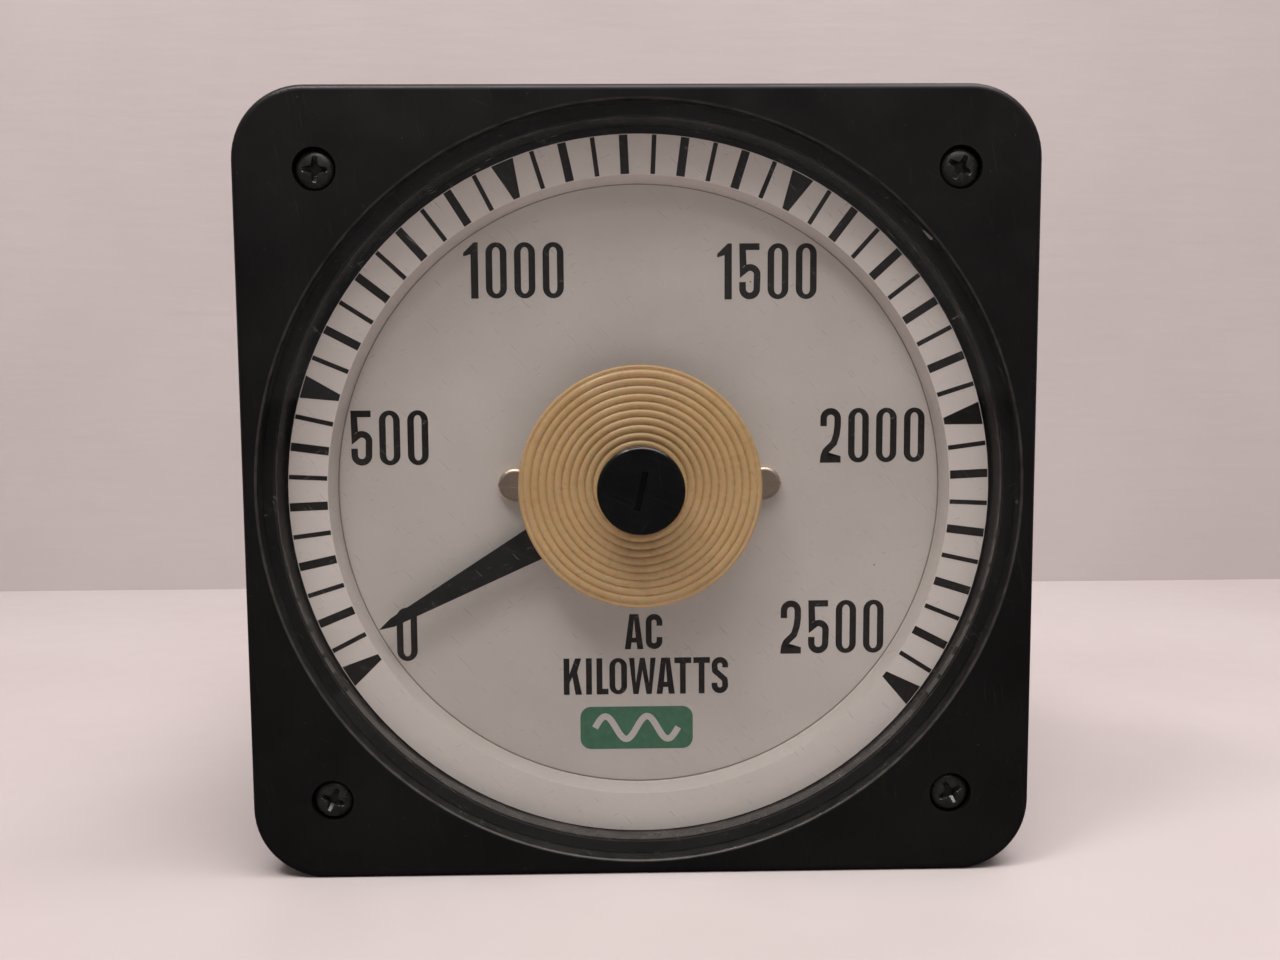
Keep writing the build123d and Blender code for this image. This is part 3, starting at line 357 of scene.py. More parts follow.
def maker_emblem(ink):
    """A plain green bar with a sine wave left white."""
    left, right, low, high = -9.0 * MM, 7.65 * MM, -39.5 * MM, -33.1 * MM
    corner, corner_steps, waves, wave_steps, line = 1.6 * MM, 8, 2, 48, 0.95 * MM
    length, swing = 0.74 * (right - left), 0.27 * (high - low)
    outline = []
    for cx, cz, start in ((right - corner, high - corner, 0), (left + corner, high - corner, 90),
                          (left + corner, low + corner, 180), (right - corner, low + corner, 270)):
        outline += arc(cx, cz, corner, corner, start, start + 90, corner_steps)
    middle_x, middle_z = (left + right) / 2, (low + high) / 2
    path = []
    for step in range(wave_steps + 1):
        share = step / wave_steps
        path.append((middle_x + (share - 0.5) * length,
                     middle_z + swing * math.sin(2 * math.pi * waves * share)))
    bm = bmesh.new()
    add_flat(bm, [outline, stroke(path, line)], DIAL_Y, DIAL_Y - INK_THICKNESS)
    make_object("maker_emblem", bm, HOUSING, ink)


# ---------------------------------------------------------------- hardware

def add_thread(bm, x, z, y_start, y_tip, radius, pitch, depth, chamfer):
    """A threaded shank: a closed skin whose radius follows a rounded helical groove."""
    segments, rows_per_turn, crest_flatness, tip_slope = 40, 8, 0.8, 0.9
    rows = round((y_tip - y_start) / pitch * rows_per_turn)
    profile = []
    for row in range(rows + 1):
        y = y_start + (y_tip - y_start) * row / rows
        ring = []
        for index in range(segments):
            angle = 2 * math.pi * index / segments
            phase = y / pitch - index / segments
            groove = depth * (0.5 - 0.5 * math.cos(2 * math.pi * phase)) ** crest_flatness
            tip_limit = radius - max(0.0, y - (y_tip - chamfer)) * tip_slope
            r = min(radius - groove * min(1.0, (y - y_start) / pitch), tip_limit)
            ring.append(bm.verts.new((x + r * math.sin(angle), y, z + r * math.cos(angle))))
        profile.append(ring)
    for first, second in zip(profile, profile[1:]):
        join_rings(bm, first, second)
    bm.faces.new(profile[0])
    bm.faces.new(profile[-1])


def add_hex(bm, x, z, y_low, y_high, corner_r, bore_r, turn):
    """A hexagonal nut or head with its corners chamfered at both ends. Without a bore it is solid."""
    segments, flat_r, slope = 96, corner_r * math.cos(HEX_STEP / 2), math.tan(HEX_STEP / 2)
    chamfer_r = 0.97 * flat_r
    rings = [[], [], [], []]
    for index in range(segments):
        angle = 2 * math.pi * index / segments
        off_flat = (angle - turn + HEX_STEP / 2) % HEX_STEP - HEX_STEP / 2
        hex_r = flat_r / math.cos(off_flat)
        fall = (hex_r - chamfer_r) * slope
        for ring, r, y in zip(rings, (chamfer_r, hex_r, hex_r, chamfer_r),
                              (y_low, y_low + fall, y_high - fall, y_high)):
            ring.append(bm.verts.new((x + r * math.sin(angle), y, z + r * math.cos(angle))))
    if bore_r:
        bore = [[bm.verts.new((x + bore_r * math.sin(2 * math.pi * index / segments), y,
                               z + bore_r * math.cos(2 * math.pi * index / segments)))
                 for index in range(segments)] for y in (y_high, y_low)]
        rings = [bore[1]] + rings + bore[:1] + bore[1:]
    for first, second in zip(rings, rings[1:]):
        join_rings(bm, first, second)
    if not bore_r:
        bm.faces.new(rings[0])
        bm.faces.new(rings[-1])


def square_places(low, high, radius):
    """The four axis places of parts of one radius that fill a box from corner to corner."""
    columns, rows = (low[0] + radius, high[0] - radius), (low[2] + radius, high[2] - radius)
    return [(x, z) for x in columns for z in rows]


def mounting_hardware(metal):
    """Four threaded studs, each with its hexagonal head and its round collar let into the flange."""
    collar_segments = 48
    bm = bmesh.new()
    for x, z in square_places(STUDS_LOW, STUDS_HIGH, STUD_HEAD_R):
        add_hex(bm, x, z, STUDS_LOW[1], STUD_COLLAR_FRONT_Y, STUD_HEAD_R, 0.0, 0.0)
        add_lathe(bm, [(0.0, STUD_COLLAR_FRONT_Y), (STUD_COLLAR_R, STUD_COLLAR_FRONT_Y),
                       (STUD_COLLAR_R, 0.0), (0.0, 0.0)], collar_segments, x, z)
        add_thread(bm, x, z, 0.0, STUDS_HIGH[1], STUD_R, THREAD_PITCH, THREAD_DEPTH, STUD_TIP_CHAMFER)
    piece = make_object("threaded_mounting_studs", bm, HOUSING, metal, 40)
    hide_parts("mounting_studs")


def terminal_hardware(metal):
    """Threaded terminal screws and the two nuts on each."""
    spigot_segments, turn, head_y = 32, HEX_STEP / 2, REAR_WALL_Y - TERMINAL_HEAD_HEIGHT
    nuts_low, nuts_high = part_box("terminal_nuts")
    rows = (TERMINALS_LOW[2] + TERMINAL_HEAD_FLAT_R, TERMINALS_HIGH[2] - TERMINAL_HEAD_FLAT_R)
    screws, nuts = bmesh.new(), bmesh.new()
    for x, z in [(x, z) for x in TERMINAL_COLUMNS for z in rows]:
        add_lathe(screws, [(0.0, TERMINALS_LOW[1]), (TERMINAL_SPIGOT_R, TERMINALS_LOW[1]),
                           (TERMINAL_SPIGOT_R, head_y), (0.0, head_y)], spigot_segments, x, z)
        add_hex(screws, x, z, head_y, REAR_WALL_Y, TERMINAL_HEAD_R, 0.0, turn)
        add_thread(screws, x, z, REAR_WALL_Y, TERMINALS_HIGH[1], STUD_R, THREAD_PITCH, THREAD_DEPTH,
                   TERMINAL_TIP_CHAMFER)
        for low in (nuts_low[1], nuts_high[1] - NUT_HEIGHT):
            add_hex(nuts, x, z, low, low + NUT_HEIGHT, NUT_R, STUD_R, turn)
    piece = make_object("threaded_terminal_screws", screws, HOUSING, metal, 40)
    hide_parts("terminal_studs")
    piece = make_object("chamfered_terminal_nuts", nuts, HOUSING, metal, 35)
    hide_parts("terminal_nuts")


def recess_depth(u, v):
    """Depth of a worn cross recess at a place on a screw head, in metres."""
    tip_width, widening, floor_slope, depth = 0.72, 0.55, 1.9, 0.0
    for along, across in ((abs(u), abs(v)), (abs(v), abs(u))):
        reach = max(0.0, 1.0 - along / RECESS_ARM)
        half = RECESS_HALF * (tip_width + widening * reach)
        wall = min(1.0, max(0.0, (half - across) / RECESS_WALL))
        depth = max(depth, wall * RECESS_DEPTH * min(1.0, floor_slope * reach))
    centre = min(1.0, max(0.0, (RECESS_CENTRE_R - math.hypot(u, v)) / RECESS_CENTRE_EDGE))
    return max(depth, centre * RECESS_DEPTH)


def cover_fasteners(metal):
    """Four domed cross-head screws, each turned to its own angle."""
    low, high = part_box("cover_screws")
    rings_out, segments, spread, roundness = 44, 144, 0.9, 2.6
    top_y, seat_y = low[1], FRONT_Y + COUNTERBORE_DEPTH
    bm = bmesh.new()
    for (x, z), angle in zip(square_places(low, high, COVER_SCREW_CAD_R), COVER_SCREW_TURNS):
        turn = math.radians(angle)
        rings = [[bm.verts.new((x, top_y + recess_depth(0.0, 0.0), z))]]
        for step in range(1, rings_out + 1):
            share = step / rings_out
            rho = COVER_SCREW_R * math.sin(share * math.pi / 2) ** spread
            crown = SCREW_CROWN * (1 - math.sqrt(max(0.0, 1 - (rho / COVER_SCREW_R) ** roundness)))
            ring = []
            for index in range(segments):
                theta = 2 * math.pi * index / segments
                u, v = rho * math.sin(theta - turn), rho * math.cos(theta - turn)
                y = top_y + crown + recess_depth(u, v)
                ring.append(bm.verts.new((x + rho * math.sin(theta), y, z + rho * math.cos(theta))))
            rings.append(ring)
        for radius, y in ((COVER_SCREW_R, seat_y), (COVER_SCREW_SHANK_R, seat_y),
                          (COVER_SCREW_SHANK_R, high[1])):
            rings.append([bm.verts.new((x + radius * math.sin(2 * math.pi * index / segments), y,
                                        z + radius * math.cos(2 * math.pi * index / segments)))
                          for index in range(segments)])
        for first, second in zip(rings, rings[1:]):
            join_rings(bm, first, second)
        bm.faces.new(rings[-1])
    piece = make_object("cross_head_cover_screws", bm, HOUSING, metal, 50)
    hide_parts("cover_screws")


def label_rules(ink):
    """An empty form on the rating label: a frame divided into rows by ruled lines."""
    low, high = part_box("rating_label")
    margin, line, rows = 1.4 * MM, 0.22 * MM, 4
    left, right, bottom, top = low[0] + margin, high[0] - margin, low[2] + margin, high[2] - margin
    bm = bmesh.new()
    frame_loops = [[(left, bottom), (right, bottom), (right, top), (left, top)],
                   [(left + line, bottom + line), (right - line, bottom + line),
                    (right - line, top - line), (left + line, top - line)]]
    add_flat(bm, frame_loops, high[1], high[1] + INK_THICKNESS)
    for row in range(1, rows):
        z = bottom + (top - bottom) * row / rows
        rule = [(left + line, z), (right - line, z), (right - line, z + line), (left + line, z + line)]
        add_flat(bm, [rule], high[1], high[1] + INK_THICKNESS)
    make_object("label_rules", bm, HOUSING, ink)


# ---------------------------------------------------------------- finishes

class Finish:
    """Builds one node material. Sizes are in millimetres, in the part's own coordinates."""

    SHIFT = 1.7

    def __init__(self, name):
        self.material = bpy.data.materials.new(name)
        self.material.use_nodes = True
        tree = self.material.node_tree
        self.nodes, self.links = tree.nodes, tree.links
        self.shader = self.nodes["Principled BSDF"]
        self.output = self.nodes["Material Output"]
        self.place = self.nodes.new("ShaderNodeTexCoord").outputs["Object"]
        self.normal = None
        self.shift = 0.0

    def node(self, kind, inputs, **settings):
        node = self.nodes.new("ShaderNode" + kind)
        for key, value in settings.items():
            setattr(node, key, value)
        for key, value in inputs.items():
            self.feed(node.inputs[key], value)
        return node

    def feed(self, socket, value):
        if isinstance(value, bpy.types.NodeSocket):
            self.links.new(value, socket)
        else:
            socket.default_value = value

    def cell(self, size, stretch, turn):
        """Coordinates counted in cells of a size, stretched and turned about the Y axis.

        Each call shifts them further, so that no two patterns of a material fall together.
        """
        self.shift += self.SHIFT
        scale = tuple(size * MM * share for share in stretch)
        return self.node("Mapping", {"Vector": self.place, "Location": (self.shift, self.shift, self.shift),
                                     "Rotation": (0.0, math.radians(turn), 0.0), "Scale": scale},
                         vector_type="TEXTURE").outputs["Vector"]

    def noise(self, size, detail=3.0, stretch=(1, 1, 1), turn=0.0, rough=0.5):
        return self.node("TexNoise", {"Vector": self.cell(size, stretch, turn), "Scale": 1.0,
                                      "Detail": detail, "Roughness": rough}).outputs["Fac"]

    def ramp(self, value, low, high, to_low=0.0, to_high=1.0):
        return self.node("MapRange", {"Value": value, "From Min": low, "From Max": high,
                                      "To Min": to_low, "To Max": to_high}).outputs["Result"]

    def math(self, operation, a, b):
        return self.node("Math", {0: a, 1: b}, operation=operation).outputs["Value"]

    def mix(self, share, a, b):
        return self.node("Mix", {0: share, 6: a, 7: b}, data_type="RGBA").outputs[2]

    def radius(self, centre_z=0.0):
        """Distance in metres from an axis along Y."""
        away = self.node("VectorMath", {0: self.place, 1: (0.0, 0.0, centre_z)}, operation="SUBTRACT")
        flat = self.node("VectorMath", {0: away.outputs["Vector"], 1: (1.0, 0.0, 1.0)}, operation="MULTIPLY")
        return self.node("VectorMath", {0: flat.outputs["Vector"]}, operation="LENGTH").outputs["Value"]

    def specks(self, size, spacing, density):
        """Small soft-edged dots, in a share of the cells."""
        cell = self.cell(spacing, (1, 1, 1), 0.0)
        cells = self.node("TexVoronoi", {"Vector": cell, "Scale": 1.0})
        dot = self.ramp(cells.outputs["Distance"], size / spacing / 2, size / spacing / 3)
        pick = self.node("SeparateColor", {"Color": cells.outputs["Color"]}).outputs["Red"]
        return self.math("MULTIPLY", dot, self.math("LESS_THAN", pick, density))

    def scratches(self, length, width, turn, rarity):
        """Sparse hairlines along one direction in the X and Z plane."""
        softness = 0.03
        lines = self.noise(width, 1.0, (length / width, length / width, 1), turn)
        return self.ramp(lines, rarity, rarity + softness)

    def bump(self, height, depth):
        inputs = {"Height": height, "Distance": depth * MM, "Strength": 1.0}
        if self.normal:
            inputs["Normal"] = self.normal
        self.normal = self.node("Bump", inputs).outputs["Normal"]

    def finish(self, colour, roughness, **sockets):
        self.feed(self.shader.inputs["Base Color"], colour)
        self.feed(self.shader.inputs["Roughness"], roughness)
        if self.normal:
            self.feed(self.shader.inputs["Normal"], self.normal)
        for name, value in sockets.items():
            self.shader.inputs[name.replace("_", " ")].default_value = value
        return self.material

    def drift(self, size, dark, light, detail=3.0):
        """Tone that drifts between two colours in soft patches."""
        return self.mix(self.ramp(self.noise(size, detail), 0.35, 0.65), rgba(*dark), rgba(*light))

    def gloss(self, size, smooth, rough, detail=3.0):
        """Roughness that varies in patches."""
        return self.ramp(self.noise(size, detail), 0.3, 0.7, smooth, rough)

    def dusted(self, colour, film_size, film, dot_size, spacing, density, dots):
        """A thin uneven film of dust with denser dots: film and dots are how strongly each one shows."""
        haze = self.ramp(self.noise(film_size, 5.0, rough=0.65), 0.42, 0.75, 0.0, film)
        spots = self.math("MULTIPLY", self.specks(dot_size, spacing, density), dots)
        return self.mix(self.math("MAXIMUM", haze, spots), colour, DUST)

    def scratched(self, colour, width, strength, lengths, rarities):
        """Hairlines in three directions."""
        for turn, length, rarity in zip(HAIRLINE_TURNS, lengths, rarities):
            lines = self.math("MULTIPLY", self.scratches(length, width, turn, rarity), strength)
            colour = self.mix(lines, colour, HAIRLINE)
        return colour


def rgba(red, green, blue):
    return (red, green, blue, 1.0)


def moulded(name, dark, light, rough, grain=0.4, depth=0.004, dust=0.0, scratch=0.0, patch=9.0, **sockets):
    """Plastic, paint or rubber with a fine grain, and with dust and hairlines where asked for."""
    look = Finish(name)
    colour = look.drift(patch, dark, light)
    roughness = look.gloss(patch * 0.6, *rough, detail=4.0)
    if dust:
        colour = look.dusted(colour, film_size=patch * 1.8, film=dust, dot_size=0.22, spacing=1.5,
                             density=0.3, dots=dust * 2.2)
    if scratch:
        colour = look.scratched(colour, width=0.12, strength=scratch, lengths=(14.0, 9.0, 18.0),
                                rarities=(0.70, 0.71, 0.71))
    look.bump(look.noise(grain, 2.0), depth)
    look.bump(look.noise(patch * 0.5, 1.0), depth * 2)
    return look.finish(colour, roughness, **sockets)


def metal(name, dark, light, rough, brush=(1, 1, 1), depth=0.002, tarnish=0.25):
    """Bare or plated metal: brushed or drawn grain, with tarnish in patches that are darker and duller."""
    grain, tarnish_tone, tarnish_rough = 0.25, 0.45, 0.3
    look = Finish(name)
    colour = look.mix(look.ramp(look.noise(3.5, 4.0), 0.35, 0.7), rgba(*light), rgba(*dark))
    stain = look.ramp(look.noise(1.3, 5.0, rough=0.7), 0.55, 0.75, 0.0, tarnish)
    colour = look.mix(stain, colour, rgba(*[tarnish_tone * part for part in dark]))
    fine = look.noise(grain, 3.0, brush)
    shine = look.ramp(fine, 0.3, 0.7, *rough)
    roughness = look.math("ADD", shine, look.math("MULTIPLY", stain, tarnish_rough))
    look.bump(fine, depth)
    return look.finish(colour, roughness, Metallic=1.0)


def cover_plastic(name):
    """Black moulding with dust and hairlines: its bore is polished, and a painted highlight runs along its
    two round edges.
    """
    look = Finish(name)
    colour = look.drift(16.0, (0.0030, 0.0028, 0.0028), (0.0052, 0.0048, 0.0048))
    colour = look.dusted(colour, film_size=26.0, film=0.010, dot_size=0.24, spacing=1.7, density=0.3,
                         dots=0.12)
    colour = look.scratched(colour, width=0.14, strength=0.06, lengths=(5.0, 3.5, 6.0),
                            rarities=(0.725, 0.73, 0.73))
    radius = look.radius()
    bore = look.ramp(radius, OPENING_R + 0.25 * MM, OPENING_R + 0.05 * MM)
    patchy = look.ramp(look.noise(2.2, 3.0), 0.3, 0.6, 0.35, 1.0)
    # Painted highlight: a pale thin ring along the lip and along the edge of the opening.
    for edge, reach, strength in ((LIP_R + 0.12 * MM, 0.22 * MM, 0.08), (OPENING_R, 0.16 * MM, 0.13)):
        near = look.math("ABSOLUTE", look.math("SUBTRACT", radius, edge), 0.0)
        edge_highlight = look.math("MULTIPLY", look.ramp(near, reach, 0.3 * reach, 0.0, strength), patchy)
        colour = look.mix(edge_highlight, colour, rgba(0.55, 0.50, 0.48))
    roughness = look.math("SUBTRACT", look.gloss(9.6, 0.36, 0.48, 4.0), look.math("MULTIPLY", bore, 0.24))
    look.bump(look.noise(0.3, 2.0), 0.001)
    look.bump(look.noise(8.0, 1.0), 0.002)
    return look.finish(colour, roughness, Specular_IOR_Level=0.42)


def dial_paint(name, dark, light, rough, shade_band_low, shade_band_high, painted_shade):
    """Baked white paint with the odd speck, and a narrow band of painted shade near the foot of the scale
    ring.
    """
    large_speck, small_speck = rgba(0.16, 0.13, 0.11), rgba(0.30, 0.25, 0.2)
    painted_shade_colour = rgba(0.10, 0.085, 0.075)
    look = Finish(name)
    colour = look.drift(22.0, dark, light, 2.0)
    specks = look.specks(size=0.34, spacing=6.0, density=0.16)
    colour = look.mix(look.math("MULTIPLY", specks, 0.75), colour, large_speck)
    specks = look.specks(size=0.2, spacing=2.6, density=0.12)
    colour = look.mix(look.math("MULTIPLY", specks, 0.35), colour, small_speck)
    # Painted shade: a dark band between two radii about the ring's centre. It stands in for the shadow at
    # the ring's foot and on its bevel.
    radius, edge = look.radius(RING_Z), 0.05 * MM
    in_shade_band = look.math("MULTIPLY", look.ramp(radius, shade_band_low - edge, shade_band_low),
                       look.ramp(radius, shade_band_high + edge, shade_band_high))
    colour = look.mix(look.math("MULTIPLY", in_shade_band, painted_shade), colour, painted_shade_colour)
    roughness = look.gloss(4.0, *rough, detail=4.0)
    look.bump(look.noise(0.55, 2.0), 0.003)
    return look.finish(colour, roughness)


def printing_ink(name, dark, light):
    """Screen-printed ink with a slightly uneven film."""
    look = Finish(name)
    colour = look.mix(look.ramp(look.noise(0.8, 4.0), 0.35, 0.7), rgba(*dark), rgba(*light))
    roughness = look.gloss(0.5, 0.42, 0.6)
    look.bump(look.noise(0.12, 2.0), 0.002)
    return look.finish(colour, roughness)


def hub_plastic(name):
    """Aged cream plastic that lets a little light through, with painted shade darkening its grooves."""
    groove_shade_colour, crumbs = rgba(0.28, 0.145, 0.05), rgba(0.80, 0.66, 0.46)
    look = Finish(name)
    colour = look.drift(7.0, (0.64, 0.43, 0.215), (0.70, 0.485, 0.25))
    # Painted shade: the grooves turn darker where ambient occlusion finds them hidden.
    groove = look.node("AmbientOcclusion", {"Distance": 0.7 * MM}, samples=8).outputs["AO"]
    colour = look.mix(look.ramp(groove, 0.35, 0.95, 0.08, 0.0), colour, groove_shade_colour)
    specks = look.specks(size=0.2, spacing=1.9, density=0.2)
    colour = look.mix(look.math("MULTIPLY", specks, 0.45), colour, crumbs)
    roughness = look.gloss(1.2, 0.22, 0.38, 4.0)
    look.bump(look.noise(0.5, 3.0), 0.004)
    return look.finish(colour, roughness, IOR=1.52, Subsurface_Weight=0.35, Subsurface_Scale=0.6 * MM)


def wound(name, dark, light, pitch, rough, metallic):
    """Enamelled wire in even turns that lie across the Y axis."""
    look = Finish(name)
    turns = look.node("TexWave", {"Vector": look.cell(pitch * 6.28, (1, 1, 1), 0.0), "Scale": 1.0,
                                  "Distortion": 0.6, "Detail": 1.0},
                      wave_type="BANDS", bands_direction="Y").outputs["Fac"]
    colour = look.mix(look.ramp(turns, 0.0, 0.6), rgba(*dark), rgba(*light))
    look.bump(turns, pitch * 0.35)
    return look.finish(colour, look.gloss(1.5, *rough), Metallic=metallic)


def circuit_board(name):
    """Green solder mask over square-cornered tracks."""
    look = Finish(name)
    cells = look.node("TexVoronoi", {"Vector": look.cell(3.6, (1, 1, 1), 0.0), "Scale": 1.0},
                      distance="CHEBYCHEV", feature="F1")
    track = look.ramp(cells.outputs["Distance"], 0.30, 0.33)
    colour = look.drift(6.0, (0.012, 0.085, 0.03), (0.018, 0.12, 0.045))
    colour = look.mix(look.math("MULTIPLY", track, 0.5), colour, rgba(0.05, 0.24, 0.09))
    look.bump(track, 0.03)
    return look.finish(colour, look.gloss(1.0, 0.22, 0.4))


def window_glass(name):
    """Clear glass that mirrors more at a glancing angle, with faint haze and hairline scratches."""
    mirror_low, scratch_strength = 0.04, 0.35
    look = Finish(name)
    fine = look.math("MAXIMUM", look.scratches(length=3.5, width=0.10, turn=47.0, rarity=0.748),
                     look.scratches(length=2.2, width=0.10, turn=-25.0, rarity=0.748))
    haze = look.ramp(look.noise(16.0, 4.0), 0.4, 0.75, 0.0, 0.006)
    clear = look.node("BsdfTransparent", {"Color": rgba(0.975, 0.985, 0.98)}).outputs["BSDF"]
    mirror = look.node("BsdfAnisotropic", {"Color": rgba(1.0, 1.0, 1.0),
                                           "Roughness": look.gloss(5.0, 0.01, 0.05)}).outputs["BSDF"]
    facing = look.node("LayerWeight", {"Blend": 0.5}).outputs["Facing"]
    mirrored = look.ramp(look.math("POWER", facing, 5.0), 0.0, 1.0, mirror_low, 1.0)
    glass = look.node("MixShader", {0: mirrored, 1: clear, 2: mirror}).outputs["Shader"]
    worn = look.node("BsdfDiffuse", {"Color": rgba(0.7, 0.7, 0.7)}).outputs["BSDF"]
    wear = look.math("MAXIMUM", look.math("MULTIPLY", fine, scratch_strength), haze)
    shown = look.node("MixShader", {0: wear, 1: glass, 2: worn}).outputs["Shader"]
    look.feed(look.output.inputs["Surface"], shown)
    look.nodes.remove(look.shader)
    return look.material


# Each row holds a name, the two linear colours that it drifts between, its range of roughness and the
# settings in which it differs from the usual
MOULDINGS = (
    ("case_black", (0.010, 0.0096, 0.0098), (0.017, 0.0163, 0.0165), (0.5, 0.66),
     {"grain": 0.22, "depth": 0.008, "dust": 0.06, "scratch": 0.03, "patch": 12.0}),
    ("gasket_black", (0.009, 0.009, 0.009), (0.016, 0.0155, 0.015), (0.62, 0.8),
     {"grain": 0.3, "depth": 0.012, "dust": 0.03}),
    ("screw_black", (0.011, 0.0105, 0.0105), (0.022, 0.021, 0.021), (0.24, 0.42),
     {"grain": 0.18, "scratch": 0.12, "patch": 1.4, "Specular_IOR_Level": 0.7}),
    ("adjuster_black", (0.0020, 0.0028, 0.0031), (0.0034, 0.0045, 0.0050), (0.16, 0.26),
     {"grain": 0.5, "depth": 0.001, "dust": 0.008, "scratch": 0.04, "patch": 4.0}),
    ("pointer_black", (0.006, 0.0056, 0.0054), (0.011, 0.0104, 0.010), (0.45, 0.6),
     {"grain": 0.16, "depth": 0.006, "scratch": 0.1, "patch": 3.0}),
    ("jewel_red", (0.35, 0.01, 0.02), (0.5, 0.02, 0.035), (0.05, 0.12), {"patch": 0.6}),
    ("lead_sleeve", (0.32, 0.02, 0.015), (0.42, 0.03, 0.02), (0.35, 0.5), {}),
    ("chip_black", (0.012, 0.012, 0.012), (0.02, 0.02, 0.02), (0.45, 0.6), {"patch": 2.0}),
    ("can_blue", (0.01, 0.03, 0.12), (0.015, 0.045, 0.17), (0.2, 0.34), {"patch": 3.0}),
    ("resistor_tan", (0.40, 0.25, 0.12), (0.52, 0.34, 0.18), (0.35, 0.5), {"patch": 1.2}),
    ("trimmer_blue", (0.015, 0.07, 0.26), (0.02, 0.10, 0.34), (0.3, 0.45), {"patch": 2.5}),
    ("spacer_nylon", (0.60, 0.57, 0.50), (0.70, 0.67, 0.60), (0.35, 0.5), {"patch": 3.0}),
)
METALS = (
    ("insert_brass", (0.50, 0.33, 0.12), (0.76, 0.55, 0.25), (0.25, 0.42), {}),
    ("zinc_steel", (0.46, 0.45, 0.41), (0.68, 0.67, 0.64), (0.24, 0.4), {"tarnish": 0.35}),
    ("terminal_brass", (0.50, 0.42, 0.28), (0.72, 0.65, 0.50), (0.22, 0.38), {}),
    ("hub_pin", (0.55, 0.55, 0.54), (0.75, 0.75, 0.74), (0.28, 0.42), {}),
    ("screw_nickel", (0.78, 0.61, 0.49), (0.94, 0.80, 0.68), (0.32, 0.5), {"tarnish": 0.2}),
    ("movement_aluminium", (0.60, 0.60, 0.60), (0.78, 0.78, 0.77), (0.3, 0.45), {"brush": (8, 8, 1)}),
    ("steel_pin", (0.50, 0.50, 0.50), (0.68, 0.68, 0.68), (0.12, 0.25), {"brush": (1, 6, 1)}),
    ("spring_bronze", (0.45, 0.26, 0.10), (0.66, 0.42, 0.18), (0.2, 0.3), {}),
    ("soft_iron", (0.20, 0.20, 0.205), (0.34, 0.34, 0.345), (0.38, 0.55), {"brush": (1, 1, 9)}),
    ("magnet_alloy", (0.16, 0.155, 0.15), (0.27, 0.265, 0.26), (0.4, 0.6), {"depth": 0.02}),
    ("label_silver", (0.50, 0.50, 0.50), (0.64, 0.64, 0.635), (0.3, 0.42),
     {"brush": (12, 1, 1), "tarnish": 0.12}),
)
INKS = (
    ("dial_ink", (0.009, 0.0072, 0.0062), (0.017, 0.0138, 0.0122)),
    ("emblem_ink", (0.058, 0.18, 0.105), (0.074, 0.22, 0.135)),
    ("label_ink", (0.018, 0.018, 0.018), (0.03, 0.03, 0.03)),
)


def finishes():
    """One finish for each material slot of the record, and the printing inks."""
    made = {
        "cover_black": cover_plastic("cover_black"),
        "window_clear": window_glass("window_clear"),
        "hub_cream": hub_plastic("hub_cream"),
        "board_green": circuit_board("board_green"),
        "winding_copper": wound("winding_copper", (0.20, 0.06, 0.02), (0.62, 0.27, 0.10), 0.28,
                                (0.22, 0.34), 0.75),
        # The last three values of each dial paint are the radii and strength of its painted shade band. On
        # the ring it darkens the bevel; on the dial it is the shadow line at the ring's foot.
        "scale_white": dial_paint("scale_white", (0.83, 0.755, 0.725), (0.88, 0.805, 0.775), (0.34, 0.5),
                                  RING_FOOT_R, MARK_INNER_R - 0.15 * MM, 0.3),
        "dial_white": dial_paint("dial_white", (0.635, 0.585, 0.555), (0.70, 0.645, 0.615), (0.4, 0.55),
                                 RING_FOOT_R - 0.14 * MM, RING_FOOT_R, 0.6),
    }
    for name, dark, light, rough, settings in MOULDINGS:
        made[name] = moulded(name, dark, light, rough, **settings)
    for name, dark, light, rough, settings in METALS:
        made[name] = metal(name, dark, light, rough, **settings)
    inks = {name: printing_ink(name, dark, light) for name, dark, light in INKS}
    return made, inks


def dress_nodes(made):
    """Gives every CAD node the finish of its slot."""
    for subpart in frame["record"]["subparts"]:
        node = NODES[subpart["node"]]
        if not node.material_slots:
            node.data.materials.append(None)
        for material_slot in node.material_slots:
            material_slot.link = "OBJECT"
            material_slot.material = made[subpart["material_slot"]]


# ---------------------------------------------------------------- stage

def stage_plane(name, corners, material):
    mesh = bpy.data.meshes.new(name)
    mesh.from_pydata(corners, [], [(0, 1, 2, 3)])
    mesh.materials.append(material)
    plane = bpy.data.objects.new(name, mesh)
    bpy.context.scene.collection.objects.link(plane)


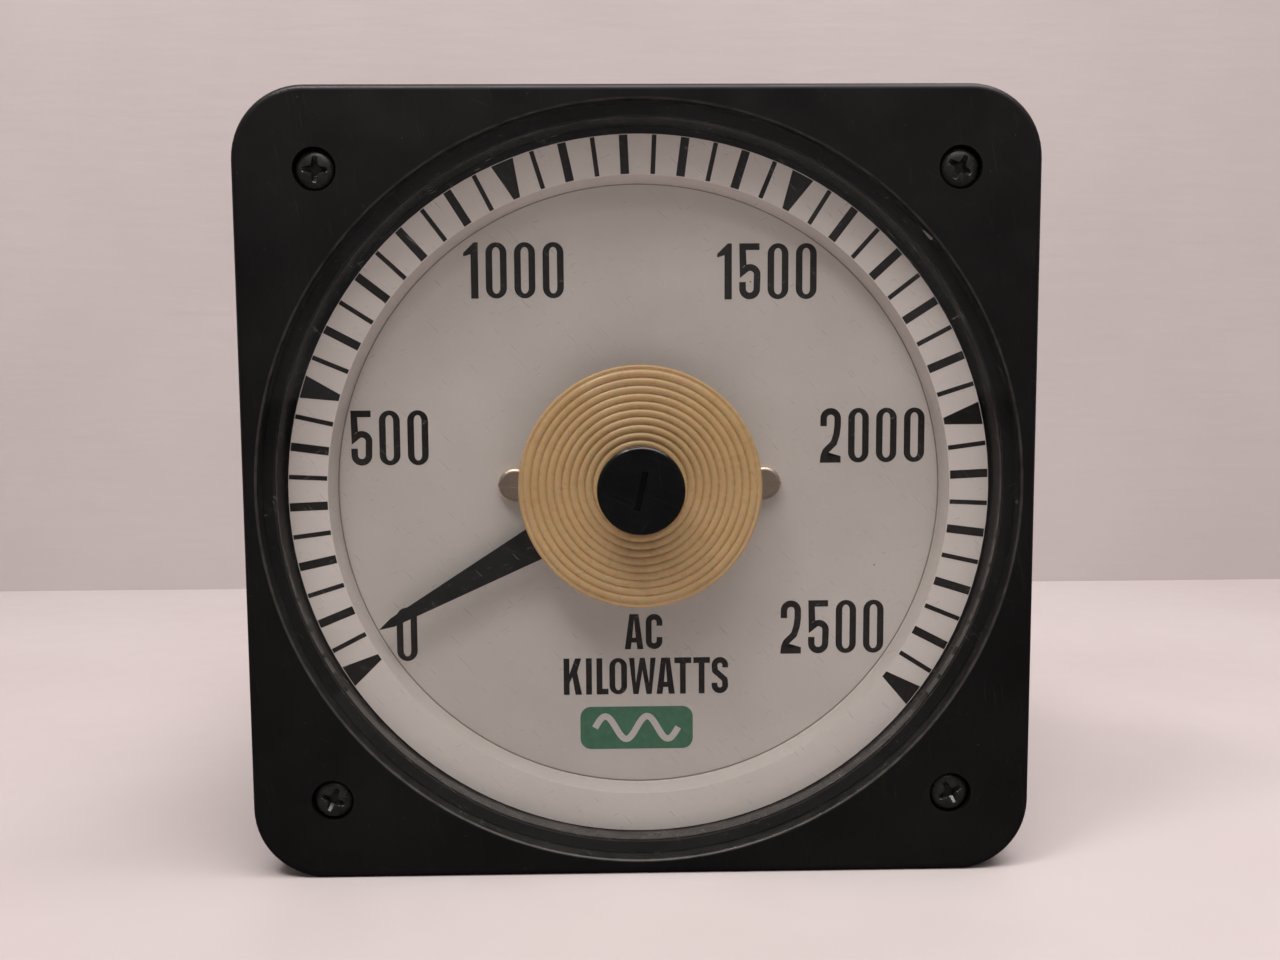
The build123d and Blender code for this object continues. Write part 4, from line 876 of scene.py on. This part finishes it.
def stage_surfaces():
    """A pale table top under the meter and a pale wall behind it, which is seen from its front only.

    Shiny parts mirror the table as if it were dark, as the objects in front of a real meter would be.
    """
    floor_z, wall_y, reach = CAD_BOX[0][2], 217 * MM, 2.5
    look = Finish("table_top")
    colour = look.drift(90.0, (0.59, 0.535, 0.53), (0.63, 0.58, 0.575), 2.0)
    look.bump(look.noise(2.5, 3.0), 0.02)
    table = look.finish(colour, look.gloss(8.0, 0.5, 0.65))
    shade = look.node("BsdfDiffuse", {"Color": rgba(0.06, 0.055, 0.055)}).outputs["BSDF"]
    mirrored = look.node("LightPath", {}).outputs["Is Glossy Ray"]
    shown = look.node("MixShader", {0: mirrored, 1: look.shader.outputs["BSDF"], 2: shade})
    look.feed(look.output.inputs["Surface"], shown.outputs["Shader"])
    stage_plane("floor", [(-reach, -reach, floor_z), (reach, -reach, floor_z),
                          (reach, reach, floor_z), (-reach, reach, floor_z)], table)
    look = Finish("wall_paint")
    colour = look.drift(90.0, (0.60, 0.545, 0.545), (0.64, 0.585, 0.585), 2.0)
    look.bump(look.noise(4.0, 3.0, (6, 1, 1)), 0.12)
    wall = look.finish(colour, look.gloss(8.0, 0.5, 0.65))
    behind = look.node("NewGeometry", {}).outputs["Backfacing"]
    clear = look.node("BsdfTransparent", {}).outputs["BSDF"]
    shown = look.node("MixShader", {0: behind, 1: look.shader.outputs["BSDF"], 2: clear})
    look.feed(look.output.inputs["Surface"], shown.outputs["Shader"])
    stage_plane("wall", [(-reach, wall_y, floor_z), (reach, wall_y, floor_z),
                         (reach, wall_y, floor_z + reach), (-reach, wall_y, floor_z + reach)], wall)


def area_light(name, place, aim, size, power, colour):
    light = bpy.data.lights.new(name, "AREA")
    light.shape = "RECTANGLE"
    light.size, light.size_y = size
    light.energy, light.color = power, colour
    lamp = bpy.data.objects.new(name, light)
    lamp.location = place
    lamp.rotation_euler = (Vector(aim) - Vector(place)).to_track_quat("-Z", "Y").to_euler()
    bpy.context.scene.collection.objects.link(lamp)


def light_stage():
    """A small lamp at the upper left, a broad ceiling light, a weak fill from the front and a dim room."""
    meter, room_light = (0.0, 0.0, 0.0), 0.10
    area_light("lamp", (-0.22, -0.22, 0.52), meter, size=(0.14, 0.10), power=1.2, colour=(1.0, 0.935, 0.91))
    area_light("ceiling", (0.16, -0.27, 0.95), meter, size=(1.1, 0.5), power=10.4,
               colour=(1.0, 0.935, 0.915))
    area_light("front_fill", (0.30, -0.75, 0.85), meter, size=(0.8, 0.4), power=1.3,
               colour=(1.0, 0.92, 0.90))
    world = bpy.data.worlds.new("room")
    world.use_nodes = True
    sky = world.node_tree.nodes["Background"]
    sky.inputs["Color"].default_value = rgba(1.0, 0.93, 0.92)
    sky.inputs["Strength"].default_value = room_light
    bpy.context.scene.world = world


def place_camera():
    """The camera of the photo, solved from the keystone of the flange and the circles of the dial."""
    location, aim = Vector((-3.46, -187.05, 17.54)) * MM, Vector((-0.13, -15.0, 1.38)) * MM
    roll_deg, sensor_width, lens, nearest = -0.355, 36.0, 35.16, 1.0 * MM
    camera = bpy.data.objects.new("camera", bpy.data.cameras.new("camera"))
    bpy.context.scene.collection.objects.link(camera)
    camera.data.sensor_width, camera.data.lens = sensor_width, lens
    camera.data.clip_start = nearest
    turn = (aim - location).to_track_quat("-Z", "Y").to_matrix().to_4x4()
    roll = Matrix.Rotation(math.radians(roll_deg), 4, "Z")
    camera.matrix_world = Matrix.Translation(location) @ turn @ roll
    bpy.context.scene.camera = camera


# ---------------------------------------------------------------- the meter

finish_of, inks = finishes()
dress_nodes(finish_of)
scale_marks(inks["dial_ink"])
dial_numerals(inks["dial_ink"])
dial_legend(inks["dial_ink"])
maker_emblem(inks["emblem_ink"])
cover_fasteners(finish_of["screw_black"])
mounting_hardware(finish_of["zinc_steel"])
terminal_hardware(finish_of["terminal_brass"])
label_rules(inks["label_ink"])
stage_surfaces()
light_stage()
place_camera()
bpy.context.scene.view_settings.view_transform = "Standard"
